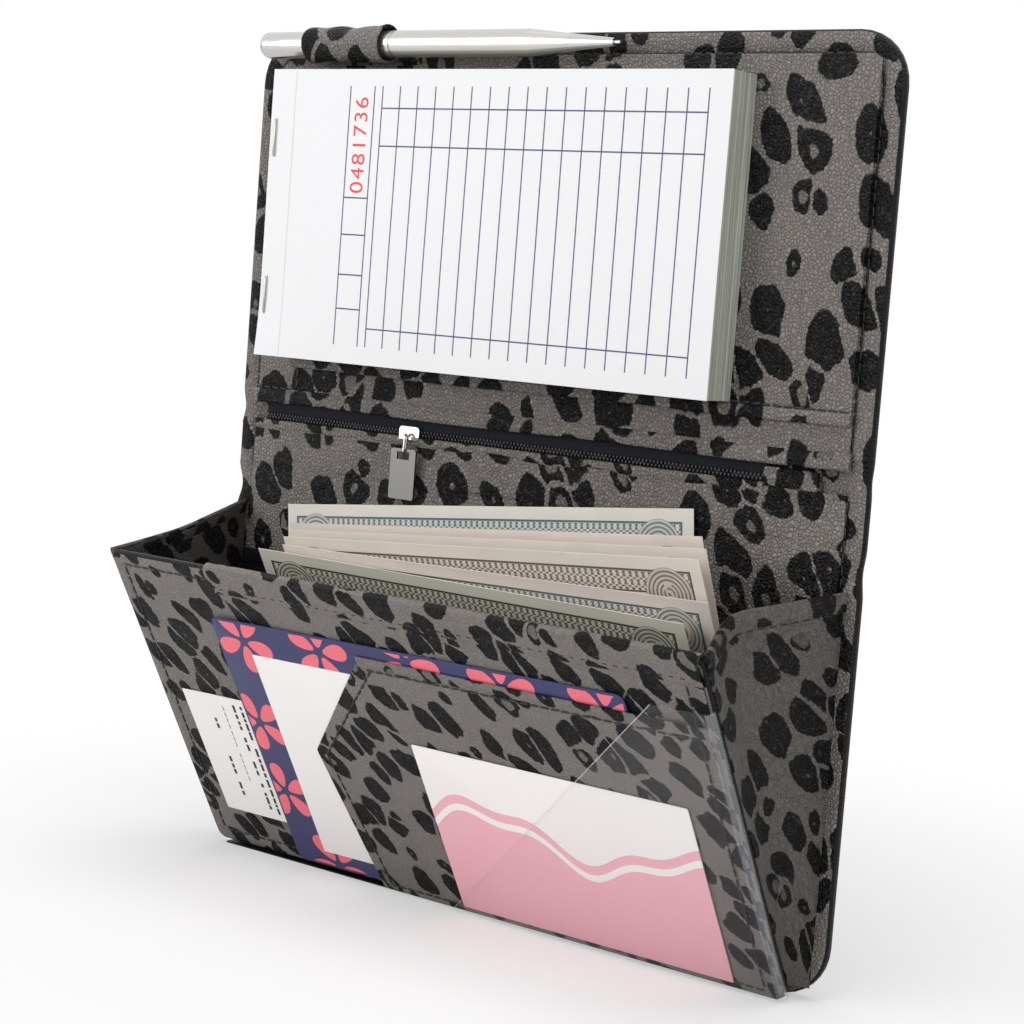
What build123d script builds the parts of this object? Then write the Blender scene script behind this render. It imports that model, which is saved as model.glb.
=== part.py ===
from build123d import *
from math import cos, radians, sin, sqrt, tan
import os

# Server book standing open on its bottom edge, in millimetres.
# X runs to the right, Y to the back and Z up. The origin lies on the floor, in the middle
# of the strip that closes the bill pocket's bottom.
# The back half leans back, and the bill pocket's front leans forward from it.
# On the back half, heights run up the leaning face and depths run out of it to the front.

# Book
book_width = 234.0
lower_height = 117.0
spine_height = 25.6
cover_height = 117.9
corner_radius = 15.0
back_lean = 2.6

# Layers of the covers
skin = 0.9
board = 1.6
lining = 0.9
board_clearance = 0.1
turned_rim = 6.0
rim_groove = 0.2
board_margin = 2.0
fold_gap = 0.1
cover_set_back = 1.15

# Bill pocket
pocket_gap = 3.2
pocket_angle = 27.4
front_side_margin = 8.0
front_drop = 5.8
front_lining = 0.5
front_board = 1.0
front_skin = 0.6
front_corner = 3.0
gusset_rise = 0.2
gusset_thickness = 0.9
gusset_hem = 4.5
gusset_hem_thickness = 1.7
gusset_seam_inset = 4.6
gusset_front_gap = 0.35
right_gusset_fold = 9.0
left_gusset_fold = 1.5
gusset_fold_share = 0.36
gusset_low_share = 0.03
floor_strip = 0.6
floor_strip_gap = 0.2
rim_hem_thickness = 0.4

# Layers inside the bill pocket
wall = 0.6
wall_side_margin = 6.4
wall_low = 4.0
slip_pocket_drop = 21.0
slip_pocket_low = 5.0
binding_height = 5.0
binding_thickness = 0.35

# Pockets on the front panel
receipt_gap = 0.35
rear_pocket = 0.6
rear_pocket_inset = 42.0
rear_pocket_lean = 22.0
menu_gap = 0.55
front_pocket = 0.6
front_pocket_drop = 16.2
front_pocket_knee_inset = 65.0
front_pocket_knee_drop = 44.0
front_pocket_top_inset = 100.0
front_pocket_foot_inset = 74.0
window_gap = 0.45
window = 0.25
window_top_inset = 18.0
window_foot_inset = 116.0
window_rise = 1.0
front_margin = 1.2
top_wrap_height = 4.5

# Zipper
zip_drop = 3.1
zip_left_margin = 11.0
zip_right_margin = 33.0
tape = 0.5
tape_depth = -1.5
tape_width = 6.0
chain_gap = 0.9
tooth_pitch = 1.3
tooth_width = 0.7
tooth_length = 0.9
tooth_height = 0.7
spine_wall_depth = -1.0
end_tab_length = 17.0
end_tab_thickness = 0.8

# Slider and pull
slider_travel = 62.0
slider_length = 8.0
slider_width = 4.0
slider_plate = 0.7
slider_corner = 1.2
slider_clearance = 0.12
slider_post = 0.6
slider_post_length = 2.4
bridge_drop = 1.5
bridge_eye = 1.1
bridge_bar = 0.6
bridge_width = 0.8
bridge_span = 5.0
bridge_leg = 0.9
ring_wire = 0.7
ring_radius = 1.1
ring_reach = 3.8
ring_twist = 28.0
pull_width = 10.0
pull_length = 15.5
pull_thickness = 0.7
pull_strip = 0.9
pull_slot_width = 5.0
pull_slot_height = 2.4
pull_corner = 0.8
pull_note_clearance = 0.35

# Cover face
slot_panel = 0.6
slot_panel_side = 23.0
slot_space = 0.7
slot_seam = 3.5
slot_hem_rise = 12.8
slot_hem_height = 3.4
slot_hem_thickness = 0.8
band_thickness = 0.6
zip_cover_hem_height = 4.5
zip_cover_hem_thickness = 1.2
slot_panel_drop = 2.6

# Guest check pad
pad_width = 171.45
pad_height = 88.9
pad_overhang = 5.3
pad_seat = 0.5
pad_card = 0.5
pad_thickness = 11.4
pad_clearance = 0.1
pad_stub = 4.2
top_sheet = 0.15
staple_length = 12.0
staple_wire = 0.6
staple_leg = 6.0
staple_inset = 2.2
staple_heights = (19.0, 68.0)
staple_clearance = 0.05

# Pen and its loop
pen_radius = 4.1
pen_side = 7.0
pen_cap_length = 9.0
pen_upper_length = 47.0
pen_lower_length = 66.0
pen_tip_length = 15.0
pen_point_length = 2.0
pen_ring_groove = 0.35
pen_groove_width = 1.2
pen_neck_radius = 2.6
pen_mouth_radius = 1.2
pen_point_radius = 0.5
pen_pad_clearance = 3.1
loop_thickness = 0.9
loop_clearance = 0.3
loop_inset = 0.5
loop_width = 34.0
loop_tail = 11.0
loop_tail_height = 5.0

# Paper in the pockets
note_width = 156.0
note_height = 66.3
note_thickness = 0.2
note_gap = 0.1
note_hinge_drop = 73.0
note_corner = 1.0
note_tilts = (0.0, 13.0, 17.5, 22.0, 26.0, 30.0)
note_turns = (6.0, 5.6, 5.3, 5.2, 1.7, -0.2)
note_middles = (-11.0, 4.6, 10.0, 12.0, 14.7, 8.1)
note_centres = (43.4, 40.7, 40.3, 40.2, 35.5, 33.5)

receipt_thickness = 0.15
receipt_width = 57.0
receipt_height = 47.0
receipt_inset = 10.5
receipt_low = 15.0
menu_thickness = 0.35
menu_width = 153.0
menu_height = 92.0
menu_inset = 38.0
menu_low = 3.0
menu_lean = 0.6
menu_corner = 3.0
card_thickness = 0.25
card_width = 96.0
card_height = 60.0
card_inset = 111.0
card_low = 2.6
card_corner = 1.0

# Depths through the back half, measured out of its inner face
panel_thickness = skin + board + lining
outer_face = -panel_thickness
skin_inside = outer_face + skin
fold_depth = spine_wall_depth + wall
full_height = lower_height + spine_height + cover_height
cover_fold_height = lower_height + spine_height
wall_depth = 0.0
slip_depth = wall_depth + wall
floor_lift = panel_thickness * sin(radians(back_lean))

# Places across the book and up its halves, from the edges and folds that they keep to
half_width = book_width / 2
slip_pocket_top = lower_height - slip_pocket_drop
note_hinge_height = lower_height - note_hinge_drop
zip_height = cover_fold_height - zip_drop
zip_left = zip_left_margin - half_width
zip_right = half_width - zip_right_margin
slider_x = zip_left + slider_travel
slot_panel_left = slot_panel_side - half_width
slot_hem_low = cover_fold_height + slot_hem_rise
pad_left = slot_panel_left - pad_overhang
pad_low = slot_hem_low + slot_hem_height + pad_seat
pad_right = pad_left + pad_width
pad_top = pad_low + pad_height
loop_bore = pen_radius + loop_clearance
loop_radius = loop_bore + loop_thickness
loop_left = slot_panel_left + loop_inset
pen_left = pen_side - half_width
pen_height = pad_top + pen_pad_clearance + loop_radius
slot_panel_top = pen_height - slot_panel_drop
front_width = book_width - 2 * front_side_margin
front_half = front_width / 2
front_height = lower_height - front_drop
gusset_top = front_height + gusset_rise
rear_pocket_left = rear_pocket_inset - front_half
front_pocket_top = front_height - front_pocket_drop
front_pocket_knee_x = front_pocket_knee_inset - front_half
front_pocket_knee_height = front_pocket_top - front_pocket_knee_drop
front_pocket_top_x = front_pocket_top_inset - front_half
front_pocket_foot_x = front_pocket_foot_inset - front_half
window_top_x = front_half - window_top_inset
window_foot_x = front_half - window_foot_inset
window_edge_top = front_pocket_top + window_rise
receipt_left = receipt_inset - front_half
menu_left = menu_inset - front_half
card_left = front_half - card_inset

# Depths through the pocket's front, measured out of its inner face
front_board_depth = front_lining
front_skin_depth = front_board_depth + front_board
receipt_depth = front_skin_depth + front_skin
rear_pocket_depth = receipt_depth + receipt_gap
menu_depth = rear_pocket_depth + rear_pocket
front_pocket_depth = menu_depth + menu_gap
card_depth = front_pocket_depth + front_pocket
window_depth = card_depth + window_gap
front_thickness = window_depth + window

# The pocket's front stands on its outer lower edge, and a strip joins it to the back half
pocket_hinge_rise = front_thickness * sin(radians(pocket_angle))
pocket_hinge_height = (
    pocket_hinge_rise - floor_lift - pocket_gap * sin(radians(back_lean))
) / cos(radians(back_lean))
strip_reach = (
    pocket_gap * cos(radians(back_lean))
    - pocket_hinge_height * sin(radians(back_lean))
    + front_thickness * cos(radians(pocket_angle))
    - (floor_strip + floor_strip_gap) / tan(radians(pocket_angle))
)
strip_half = (strip_reach - floor_strip_gap) / 2

back_plane = Plane(
    origin=(0, strip_half + floor_strip_gap, floor_lift),
    x_dir=(1, 0, 0),
    z_dir=(0, -cos(radians(back_lean)), sin(radians(back_lean))),
)


def on_back(x, height, depth):
    """The point of the room at a place on the leaning back half."""
    return back_plane.from_local_coords(Vector(x, height, depth))


pocket_hinge = on_back(0, pocket_hinge_height, pocket_gap)
front_plane = Plane(
    origin=pocket_hinge,
    x_dir=(1, 0, 0),
    z_dir=(0, -cos(radians(pocket_angle)), -sin(radians(pocket_angle))),
)


def on_front(x, height, depth):
    """The point of the room at a place on the pocket's front panel."""
    return front_plane.from_local_coords(Vector(x, height, depth))


def band(left, right, low, high, mode=Mode.ADD):
    """Draws a plain rectangle by its edges."""
    with Locations(((left + right) / 2, (low + high) / 2)):
        Rectangle(right - left, high - low, mode=mode)


def rounded_below(width, low, high, radius, mode=Mode.ADD):
    """Draws a panel with round lower corners and a straight upper edge."""
    half = width / 2
    with BuildLine() as outline:
        Polyline((-half, low + radius), (-half, high), (half, high), (half, low + radius))
        CenterArc((half - radius, low + radius), radius, 270, 90)
        Line((half - radius, low), (radius - half, low))
        CenterArc((radius - half, low + radius), radius, 180, 90)
    make_face(outline.edges(), mode=mode)


def rounded_above(width, low, high, radius, mode=Mode.ADD):
    """Draws a panel with round upper corners and a straight lower edge."""
    half = width / 2
    with BuildLine() as outline:
        Polyline((half, high - radius), (half, low), (-half, low), (-half, high - radius))
        CenterArc((radius - half, high - radius), radius, 90, 90)
        Line((radius - half, high), (half - radius, high))
        CenterArc((half - radius, high - radius), radius, 0, 90)
    make_face(outline.edges(), mode=mode)


os.makedirs("parts", exist_ok=True)

# Back half: outer skin turned over the board's edges, board and dark lining
lower_thick_top = lower_height - fold_gap

with BuildPart() as back_outer_skin:
    with BuildSketch(back_plane.offset(outer_face)):
        rounded_below(book_width, 0, lower_height - fold_gap, corner_radius)
    extrude(amount=skin)
    with BuildSketch(back_plane.offset(skin_inside)):
        rounded_below(book_width, 0, lower_thick_top, corner_radius)
        rounded_below(
            book_width - 2 * skin, skin, lower_height + skin, corner_radius - skin, Mode.SUBTRACT
        )
    extrude(amount=board)
    with BuildSketch(back_plane.offset(-lining)):
        rounded_below(book_width, 0, lower_thick_top, corner_radius)
        rounded_below(
            book_width - 2 * turned_rim,
            turned_rim,
            lower_height + skin,
            corner_radius - turned_rim,
            Mode.SUBTRACT,
        )
    extrude(amount=lining)
back_outer_skin.part.label = "back_outer_skin"
export_step(back_outer_skin.part, "parts/back_outer_skin.step")

with BuildPart() as back_board:
    with BuildSketch(back_plane.offset(skin_inside)):
        rounded_below(
            book_width - 2 * (skin + board_clearance),
            skin + board_clearance,
            lower_thick_top,
            corner_radius - skin,
        )
    extrude(amount=board)
back_board.part.label = "back_board"
export_step(back_board.part, "parts/back_board.step")

with BuildPart() as back_lining:
    with BuildSketch(back_plane.offset(-lining)):
        rounded_below(
            book_width - 2 * (turned_rim + rim_groove),
            turned_rim + rim_groove,
            lower_thick_top,
            corner_radius - turned_rim,
        )
    extrude(amount=lining)
back_lining.part.label = "back_lining"
export_step(back_lining.part, "parts/back_lining.step")

# Back wall of the bill pocket, which is the front of the zipped pocket
wall_width = book_width - 2 * wall_side_margin

with BuildPart() as zip_pocket_wall:
    with BuildSketch(back_plane.offset(wall_depth)):
        rounded_below(wall_width, wall_low, lower_thick_top, corner_radius / 2)
    extrude(amount=wall)
zip_pocket_wall.part.label = "zip_pocket_wall"
export_step(zip_pocket_wall.part, "parts/zip_pocket_wall.step")

with BuildPart() as inner_slip_pocket:
    with BuildSketch(back_plane.offset(slip_depth)):
        rounded_below(wall_width - 2 * rim_groove, slip_pocket_low, slip_pocket_top, corner_radius / 2)
    extrude(amount=wall - binding_thickness / 2)
inner_slip_pocket.part.label = "inner_slip_pocket"
export_step(inner_slip_pocket.part, "parts/inner_slip_pocket.step")

with BuildPart() as slip_pocket_binding:
    with BuildSketch(back_plane.offset(slip_depth + wall - binding_thickness / 2)):
        band(
            -wall_width / 2 + rim_groove,
            wall_width / 2 - rim_groove,
            slip_pocket_top - binding_height,
            slip_pocket_top,
        )
    extrude(amount=binding_thickness / 2)
slip_pocket_binding.part.label = "slip_pocket_binding"
export_step(slip_pocket_binding.part, "parts/slip_pocket_binding.step")

# Strip that closes the pocket's bottom between the back half and the front panel
with BuildPart() as pocket_floor_strip:
    with BuildSketch(Plane.XY):
        Rectangle(front_width, 2 * strip_half)
    extrude(amount=floor_strip)
pocket_floor_strip.part.label = "pocket_floor_strip"
export_step(pocket_floor_strip.part, "parts/pocket_floor_strip.step")

# Gussets: leather side walls, each with one inward crease and a thicker hem along its top


def gusset_section(side, front_level, back_level, fold, thickness):
    """The face of a gusset's cross-section between the front panel and the back half."""
    front = on_front(side * (front_width / 2 + gusset_front_gap), front_level, front_lining)
    back = on_back(side * (half_width - gusset_seam_inset), back_level, skin / 2)
    crease = front + (back - front) * gusset_fold_share - Vector(side * fold, 0, 0)
    outward = Vector(side * thickness, 0, 0)
    outline = (front, crease, back, back + outward, crease + outward, front + outward)
    return Face(Wire.make_polygon(outline))


def gusset_loft(side, low_share, high_share, fold, thickness):
    """Lofts the stretch of a gusset between two shares of the pocket's height."""
    sections = [
        gusset_section(side, front_height * share, gusset_top * share, fold * share, thickness)
        for share in (low_share, high_share)
    ]
    loft(sections, ruled=True)


hem_share = 1 - gusset_hem / gusset_top

with BuildPart() as gusset_left:
    gusset_loft(-1, gusset_low_share, hem_share, left_gusset_fold, gusset_thickness)
    gusset_loft(-1, hem_share, 1, left_gusset_fold, gusset_hem_thickness)
gusset_left.part.label = "gusset_left"
export_step(gusset_left.part, "parts/gusset_left.step")

with BuildPart() as gusset_right:
    gusset_loft(1, gusset_low_share, hem_share, right_gusset_fold, gusset_thickness)
    gusset_loft(1, hem_share, 1, right_gusset_fold, gusset_hem_thickness)
gusset_right.part.label = "gusset_right"
export_step(gusset_right.part, "parts/gusset_right.step")

# Front panel of the bill pocket: lining, board and leather face
with BuildPart() as front_lining_cloth:
    with BuildSketch(front_plane):
        rounded_above(front_width, 0, front_height, front_corner)
    extrude(amount=front_lining)
front_lining_cloth.part.label = "front_lining_cloth"
export_step(front_lining_cloth.part, "parts/front_lining_cloth.step")

with BuildPart() as front_panel_board:
    with BuildSketch(front_plane.offset(front_board_depth)):
        rounded_above(
            front_width - 2 * board_margin, board_margin, front_height - board_margin, front_corner
        )
    extrude(amount=front_board)
front_panel_board.part.label = "front_panel_board"
export_step(front_panel_board.part, "parts/front_panel_board.step")

with BuildPart() as front_panel_skin:
    with BuildSketch(front_plane.offset(front_board_depth)):
        rounded_above(front_width, 0, front_height, front_corner)
        rounded_above(
            front_width - 2 * (board_margin - board_clearance),
            board_margin - board_clearance,
            front_height - board_margin + board_clearance,
            front_corner,
            Mode.SUBTRACT,
        )
    extrude(amount=front_board)
    with BuildSketch(front_plane.offset(front_skin_depth)):
        rounded_above(front_width, 0, front_height, front_corner)
    extrude(amount=front_skin)
front_panel_skin.part.label = "front_panel_skin"
export_step(front_panel_skin.part, "parts/front_panel_skin.step")

# Rear card pocket: open along its slanted left edge for the receipt, sewn at top, right and foot
pocket_top = front_height - front_margin
pocket_right = front_half - front_margin
seam = 4.0


def rear_pocket_outline(left_inset, top, right, low, mode=Mode.ADD):
    """Draws the rear card pocket, whose left edge slants down to the right."""
    slope = tan(radians(rear_pocket_lean))
    with BuildLine() as outline:
        Polyline(
            (rear_pocket_left + left_inset + (pocket_top - top) * slope, top),
            (right, top),
            (right, low),
            (rear_pocket_left + left_inset + (pocket_top - low) * slope, low),
            close=True,
        )
    make_face(outline.edges(), mode=mode)


with BuildPart() as rear_card_pocket:
    with BuildSketch(front_plane.offset(receipt_depth)):
        rear_pocket_outline(0, pocket_top, pocket_right, 0)
        rear_pocket_outline(-seam, pocket_top - seam, pocket_right - seam, seam, Mode.SUBTRACT)
    extrude(amount=receipt_gap)
    with BuildSketch(front_plane.offset(rear_pocket_depth)):
        rear_pocket_outline(0, pocket_top, pocket_right, 0)
    extrude(amount=rear_pocket)
rear_card_pocket.part.label = "rear_card_pocket"
export_step(rear_card_pocket.part, "parts/rear_card_pocket.step")

# Hem of the rear pocket, turned over the front panel's rim and sewn down inside
with BuildPart() as front_rim_hem:
    with BuildSketch(front_plane.offset(-rim_hem_thickness)):
        band(rear_pocket_left, pocket_right, pocket_top - top_wrap_height, pocket_top)
    extrude(amount=rim_hem_thickness)
front_rim_hem.part.label = "front_rim_hem"
export_step(front_rim_hem.part, "parts/front_rim_hem.step")

# Front card pocket: its upper edge runs from the knee to the right, its foot is sewn


def front_pocket_outline(edge_inset, low, right, mode=Mode.ADD):
    """Draws the front card pocket: two slanted left edges that meet at a knee, and a flat top."""
    with BuildLine() as outline:
        Polyline(
            (front_pocket_top_x - edge_inset, front_pocket_top),
            (right, front_pocket_top),
            (right, low),
            (front_pocket_foot_x - edge_inset, low),
            (front_pocket_knee_x - edge_inset, front_pocket_knee_height),
            close=True,
        )
    make_face(outline.edges(), mode=mode)


with BuildPart() as front_card_pocket:
    with BuildSketch(front_plane.offset(menu_depth)):
        band(front_pocket_foot_x, pocket_right, 0, menu_low - front_margin)
        band(pocket_right - seam, pocket_right, 0, front_pocket_top)
    extrude(amount=menu_gap)
    with BuildSketch(front_plane.offset(front_pocket_depth)):
        front_pocket_outline(0, 0, pocket_right)
    extrude(amount=front_pocket)
front_card_pocket.part.label = "front_card_pocket"
export_step(front_card_pocket.part, "parts/front_card_pocket.step")

# Clear window: a triangle over the front pocket that rolls round the panel's right edge
with BuildPart() as clear_window:
    with BuildSketch(front_plane.offset(card_depth)):
        band(window_foot_x, pocket_right, 0, card_low - front_margin)
        band(pocket_right - seam / 2, pocket_right, 0, front_pocket_top)
    extrude(amount=window_gap)
    with BuildSketch(front_plane.offset(window_depth)):
        with BuildLine():
            Polyline(
                (window_top_x, window_edge_top),
                (pocket_right, window_edge_top),
                (pocket_right, 0),
                (window_foot_x, 0),
                close=True,
            )
        make_face()
    extrude(amount=window)
clear_window.part.label = "clear_window"
export_step(clear_window.part, "parts/clear_window.step")

# Papers on the front panel
with BuildPart() as receipt:
    with BuildSketch(front_plane.offset(receipt_depth + (receipt_gap - receipt_thickness) / 2)):
        band(receipt_left, receipt_left + receipt_width, receipt_low, receipt_low + receipt_height)
    extrude(amount=receipt_thickness)
receipt.part.label = "receipt"
export_step(receipt.part, "parts/receipt.step")

with BuildPart() as menu_card:
    with BuildSketch(front_plane.offset(menu_depth + (menu_gap - menu_thickness) / 2)):
        with Locations((menu_left + menu_width / 2, menu_low + menu_height / 2)):
            RectangleRounded(menu_width, menu_height, menu_corner, rotation=menu_lean)
    extrude(amount=menu_thickness)
menu_card.part.label = "menu_card"
export_step(menu_card.part, "parts/menu_card.step")

with BuildPart() as window_card:
    with BuildSketch(front_plane.offset(card_depth + (window_gap - card_thickness) / 2)):
        with Locations((card_left + card_width / 2, card_low + card_height / 2)):
            RectangleRounded(card_width, card_height, card_corner)
    extrude(amount=card_thickness)
window_card.part.label = "window_card"
export_step(window_card.part, "parts/window_card.step")

# Soft spine: outer skin with turned side rims and the leather below the zipper
spine_low = lower_height + fold_gap
spine_high = cover_fold_height - fold_gap
tape_top = tape_depth + tape

with BuildPart() as spine_skin:
    with BuildSketch(back_plane.offset(outer_face)):
        band(-half_width, half_width, spine_low, spine_high)
    extrude(amount=skin)
    with BuildSketch(back_plane.offset(skin_inside)):
        for side in (-1, 1):
            with Locations((side * (book_width - turned_rim) / 2, (spine_low + spine_high) / 2)):
                Rectangle(turned_rim, spine_high - spine_low)
    extrude(amount=tape_top - skin_inside)
spine_skin.part.label = "spine_skin"
export_step(spine_skin.part, "parts/spine_skin.step")

zip_wall_top = zip_height - chain_gap / 2 - tooth_length
spine_wall_half = half_width - turned_rim - rim_groove

with BuildPart() as spine_wall:
    with BuildSketch(back_plane.offset(spine_wall_depth)):
        band(-spine_wall_half, spine_wall_half, spine_low + fold_gap, zip_wall_top)
    extrude(amount=wall)
spine_wall.part.label = "spine_wall"
export_step(spine_wall.part, "parts/spine_wall.step")

# Zipper: two tapes, each with its row of teeth along a slit for the slider's post
zip_middle = (zip_left + zip_right) / 2
zip_length = zip_right - zip_left
tooth_count = int(zip_length / tooth_pitch)


def tape_strip(side):
    """Draws one tape, above the slit for side 1 and below it for side -1."""
    near = zip_height + side * chain_gap / 2
    far = near + side * tape_width
    high = min(max(near, far), spine_high)
    band(zip_left, zip_right, min(near, far), high)


def teeth(side):
    """Draws a row of teeth along the slit's edge."""
    near = zip_height + side * chain_gap / 2
    with Locations((zip_middle, near + side * tooth_length / 2)):
        with GridLocations(tooth_pitch, 1, tooth_count, 1):
            Rectangle(tooth_width, tooth_length)


with BuildPart() as zip_tape_lower:
    with BuildSketch(back_plane.offset(tape_depth)):
        tape_strip(-1)
    extrude(amount=tape)
zip_tape_lower.part.label = "zip_tape_lower"
export_step(zip_tape_lower.part, "parts/zip_tape_lower.step")

with BuildPart() as zip_tape_upper:
    with BuildSketch(back_plane.offset(tape_depth)):
        tape_strip(1)
    extrude(amount=tape)
zip_tape_upper.part.label = "zip_tape_upper"
export_step(zip_tape_upper.part, "parts/zip_tape_upper.step")

with BuildPart() as zip_teeth_lower:
    with BuildSketch(back_plane.offset(tape_top)):
        teeth(-1)
    extrude(amount=tooth_height)
zip_teeth_lower.part.label = "zip_teeth_lower"
export_step(zip_teeth_lower.part, "parts/zip_teeth_lower.step")

with BuildPart() as zip_teeth_upper:
    with BuildSketch(back_plane.offset(tape_top)):
        teeth(1)
    extrude(amount=tooth_height)
zip_teeth_upper.part.label = "zip_teeth_upper"
export_step(zip_teeth_upper.part, "parts/zip_teeth_upper.step")

# Leather tab over the zipper's right end
with BuildPart() as zip_end_tab:
    with BuildSketch(back_plane.offset(tape_top)):
        band(
            zip_right + fold_gap,
            zip_right + end_tab_length,
            zip_wall_top + fold_gap,
            spine_high,
        )
    extrude(amount=end_tab_thickness)
zip_end_tab.part.label = "zip_end_tab"
export_step(zip_end_tab.part, "parts/zip_end_tab.step")

# Zipper slider: two plates joined by a post through the slit, with a bridge on the front plate
front_plate_depth = tape_top + tooth_height + slider_clearance
front_plate_top = front_plate_depth + slider_plate
rear_plate_depth = (skin_inside + tape_depth - slider_plate) / 2
bridge_height = zip_height - bridge_drop
bridge_bar_depth = front_plate_top + bridge_eye + bridge_bar / 2

with BuildPart() as zip_slider:
    for plate_depth in (rear_plate_depth, front_plate_depth):
        with BuildSketch(back_plane.offset(plate_depth)):
            with Locations((slider_x, zip_height)):
                RectangleRounded(slider_length, slider_width, slider_corner)
        extrude(amount=slider_plate)
    with BuildSketch(back_plane.offset(rear_plate_depth)):
        with Locations((slider_x, zip_height)):
            Rectangle(slider_post_length, slider_post)
    extrude(amount=front_plate_top - rear_plate_depth)
    with BuildSketch(back_plane.offset(front_plate_top)):
        for side in (-1, 1):
            with Locations((slider_x + side * (bridge_span - bridge_leg) / 2, bridge_height)):
                Rectangle(bridge_leg, bridge_width)
    extrude(amount=bridge_eye)
    with BuildSketch(back_plane.offset(front_plate_top + bridge_eye)):
        with Locations((slider_x, bridge_height)):
            Rectangle(bridge_span, bridge_width)
    extrude(amount=bridge_bar)
zip_slider.part.label = "zip_slider"
export_step(zip_slider.part, "parts/zip_slider.step")

# Pull: a wire ring round the bridge's bar, and a plate that hangs from the ring. The plate
# passes in front of the rearmost banknote wherever the slider stands.
pull_pivot = on_back(slider_x, bridge_height, bridge_bar_depth)
pull_back_depth = slip_depth + wall + note_gap + note_thickness + pull_note_clearance
ring_foot_depth = pull_back_depth + pull_thickness / 2
ring_drop = sqrt(ring_reach**2 - (ring_foot_depth - bridge_bar_depth) ** 2)
ring_foot_height = bridge_height - ring_drop
ring_axis = on_back(slider_x, ring_foot_height, ring_foot_depth) - pull_pivot
ring_side = Vector(sin(radians(ring_twist)), 0, 0) + back_plane.z_dir * cos(radians(ring_twist))
ring_plane = Plane(origin=pull_pivot, x_dir=ring_axis, z_dir=ring_axis.cross(ring_side))

with BuildPart() as pull_ring:
    with BuildLine(ring_plane) as ring_path:
        Line((0, -ring_radius), (ring_reach, -ring_radius))
        CenterArc((ring_reach, 0), ring_radius, -90, 180)
        Line((ring_reach, ring_radius), (0, ring_radius))
        CenterArc((0, 0), ring_radius, 90, 180)
    with BuildSketch(Plane(origin=ring_path.line @ 0, z_dir=ring_path.line % 0)):
        Circle(ring_wire / 2)
    sweep(path=ring_path.wires()[0])
pull_ring.part.label = "pull_ring"
export_step(pull_ring.part, "parts/pull_ring.step")

pull_top = ring_foot_height + pull_strip / 2

with BuildPart() as pull_tab:
    with BuildSketch(back_plane.offset(ring_foot_depth - pull_thickness / 2)):
        with Locations((slider_x, pull_top - pull_length / 2)):
            RectangleRounded(pull_width, pull_length, pull_corner)
        with Locations((slider_x, pull_top - pull_strip - pull_slot_height / 2)):
            Rectangle(pull_slot_width, pull_slot_height, mode=Mode.SUBTRACT)
    extrude(amount=pull_thickness)
pull_tab.part.label = "pull_tab"
export_step(pull_tab.part, "parts/pull_tab.step")

# Cover: outer skin turned over the board's edges, board and leather face
cover_low = cover_fold_height + fold_gap
cover_thick_low = cover_fold_height + cover_set_back

with BuildPart() as cover_outer_skin:
    with BuildSketch(back_plane.offset(outer_face)):
        rounded_above(book_width, cover_low, full_height, corner_radius)
    extrude(amount=skin)
    with BuildSketch(back_plane.offset(skin_inside)):
        rounded_above(book_width, cover_thick_low, full_height, corner_radius)
        rounded_above(
            book_width - 2 * skin,
            cover_low,
            full_height - skin,
            corner_radius - skin,
            Mode.SUBTRACT,
        )
    extrude(amount=board)
    with BuildSketch(back_plane.offset(-lining)):
        rounded_above(book_width, cover_thick_low, full_height, corner_radius)
        rounded_above(
            book_width - 2 * turned_rim,
            cover_low,
            full_height - turned_rim,
            corner_radius - turned_rim,
            Mode.SUBTRACT,
        )
    extrude(amount=lining)
cover_outer_skin.part.label = "cover_outer_skin"
export_step(cover_outer_skin.part, "parts/cover_outer_skin.step")

with BuildPart() as cover_board:
    with BuildSketch(back_plane.offset(skin_inside)):
        rounded_above(
            book_width - 2 * (skin + board_clearance),
            cover_thick_low,
            full_height - skin - board_clearance,
            corner_radius - skin,
        )
    extrude(amount=board)
cover_board.part.label = "cover_board"
export_step(cover_board.part, "parts/cover_board.step")

face_inset = turned_rim + rim_groove
face_top = full_height - face_inset

with BuildPart() as cover_lining:
    with BuildSketch(back_plane.offset(-lining)):
        rounded_above(
            book_width - 2 * face_inset, cover_thick_low, face_top, corner_radius - turned_rim
        )
    extrude(amount=lining)
cover_lining.part.label = "cover_lining"
export_step(cover_lining.part, "parts/cover_lining.step")

# Pad slot: a panel over the cover's face, sewn at its foot, top and right, open at its left
slot_panel_right = half_width - face_inset

with BuildPart() as pad_slot_panel:
    with BuildSketch(back_plane):
        band(slot_panel_left, slot_panel_right, slot_hem_low, slot_panel_top)
        band(
            slot_panel_left - slot_seam,
            slot_panel_right - slot_seam,
            slot_hem_low + slot_hem_height,
            slot_panel_top - slot_seam,
            Mode.SUBTRACT,
        )
    extrude(amount=slot_space)
    with BuildSketch(back_plane.offset(slot_space)):
        band(slot_panel_left, slot_panel_right, slot_hem_low, slot_panel_top)
    extrude(amount=slot_panel)
pad_slot_panel.part.label = "pad_slot_panel"
export_step(pad_slot_panel.part, "parts/pad_slot_panel.step")

slot_panel_face = slot_space + slot_panel

with BuildPart() as slot_panel_hem:
    with BuildSketch(back_plane.offset(slot_panel_face)):
        band(slot_panel_left, slot_panel_right, slot_hem_low, slot_hem_low + slot_hem_height)
    extrude(amount=slot_hem_thickness)
slot_panel_hem.part.label = "slot_panel_hem"
export_step(slot_panel_hem.part, "parts/slot_panel_hem.step")

zip_hem_low = cover_thick_low
zip_hem_high = zip_hem_low + zip_cover_hem_height

with BuildPart() as cover_lower_band:
    with BuildSketch(back_plane):
        band(slot_panel_left, slot_panel_right, zip_hem_high + fold_gap, slot_hem_low - fold_gap)
    extrude(amount=band_thickness)
cover_lower_band.part.label = "cover_lower_band"
export_step(cover_lower_band.part, "parts/cover_lower_band.step")

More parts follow.
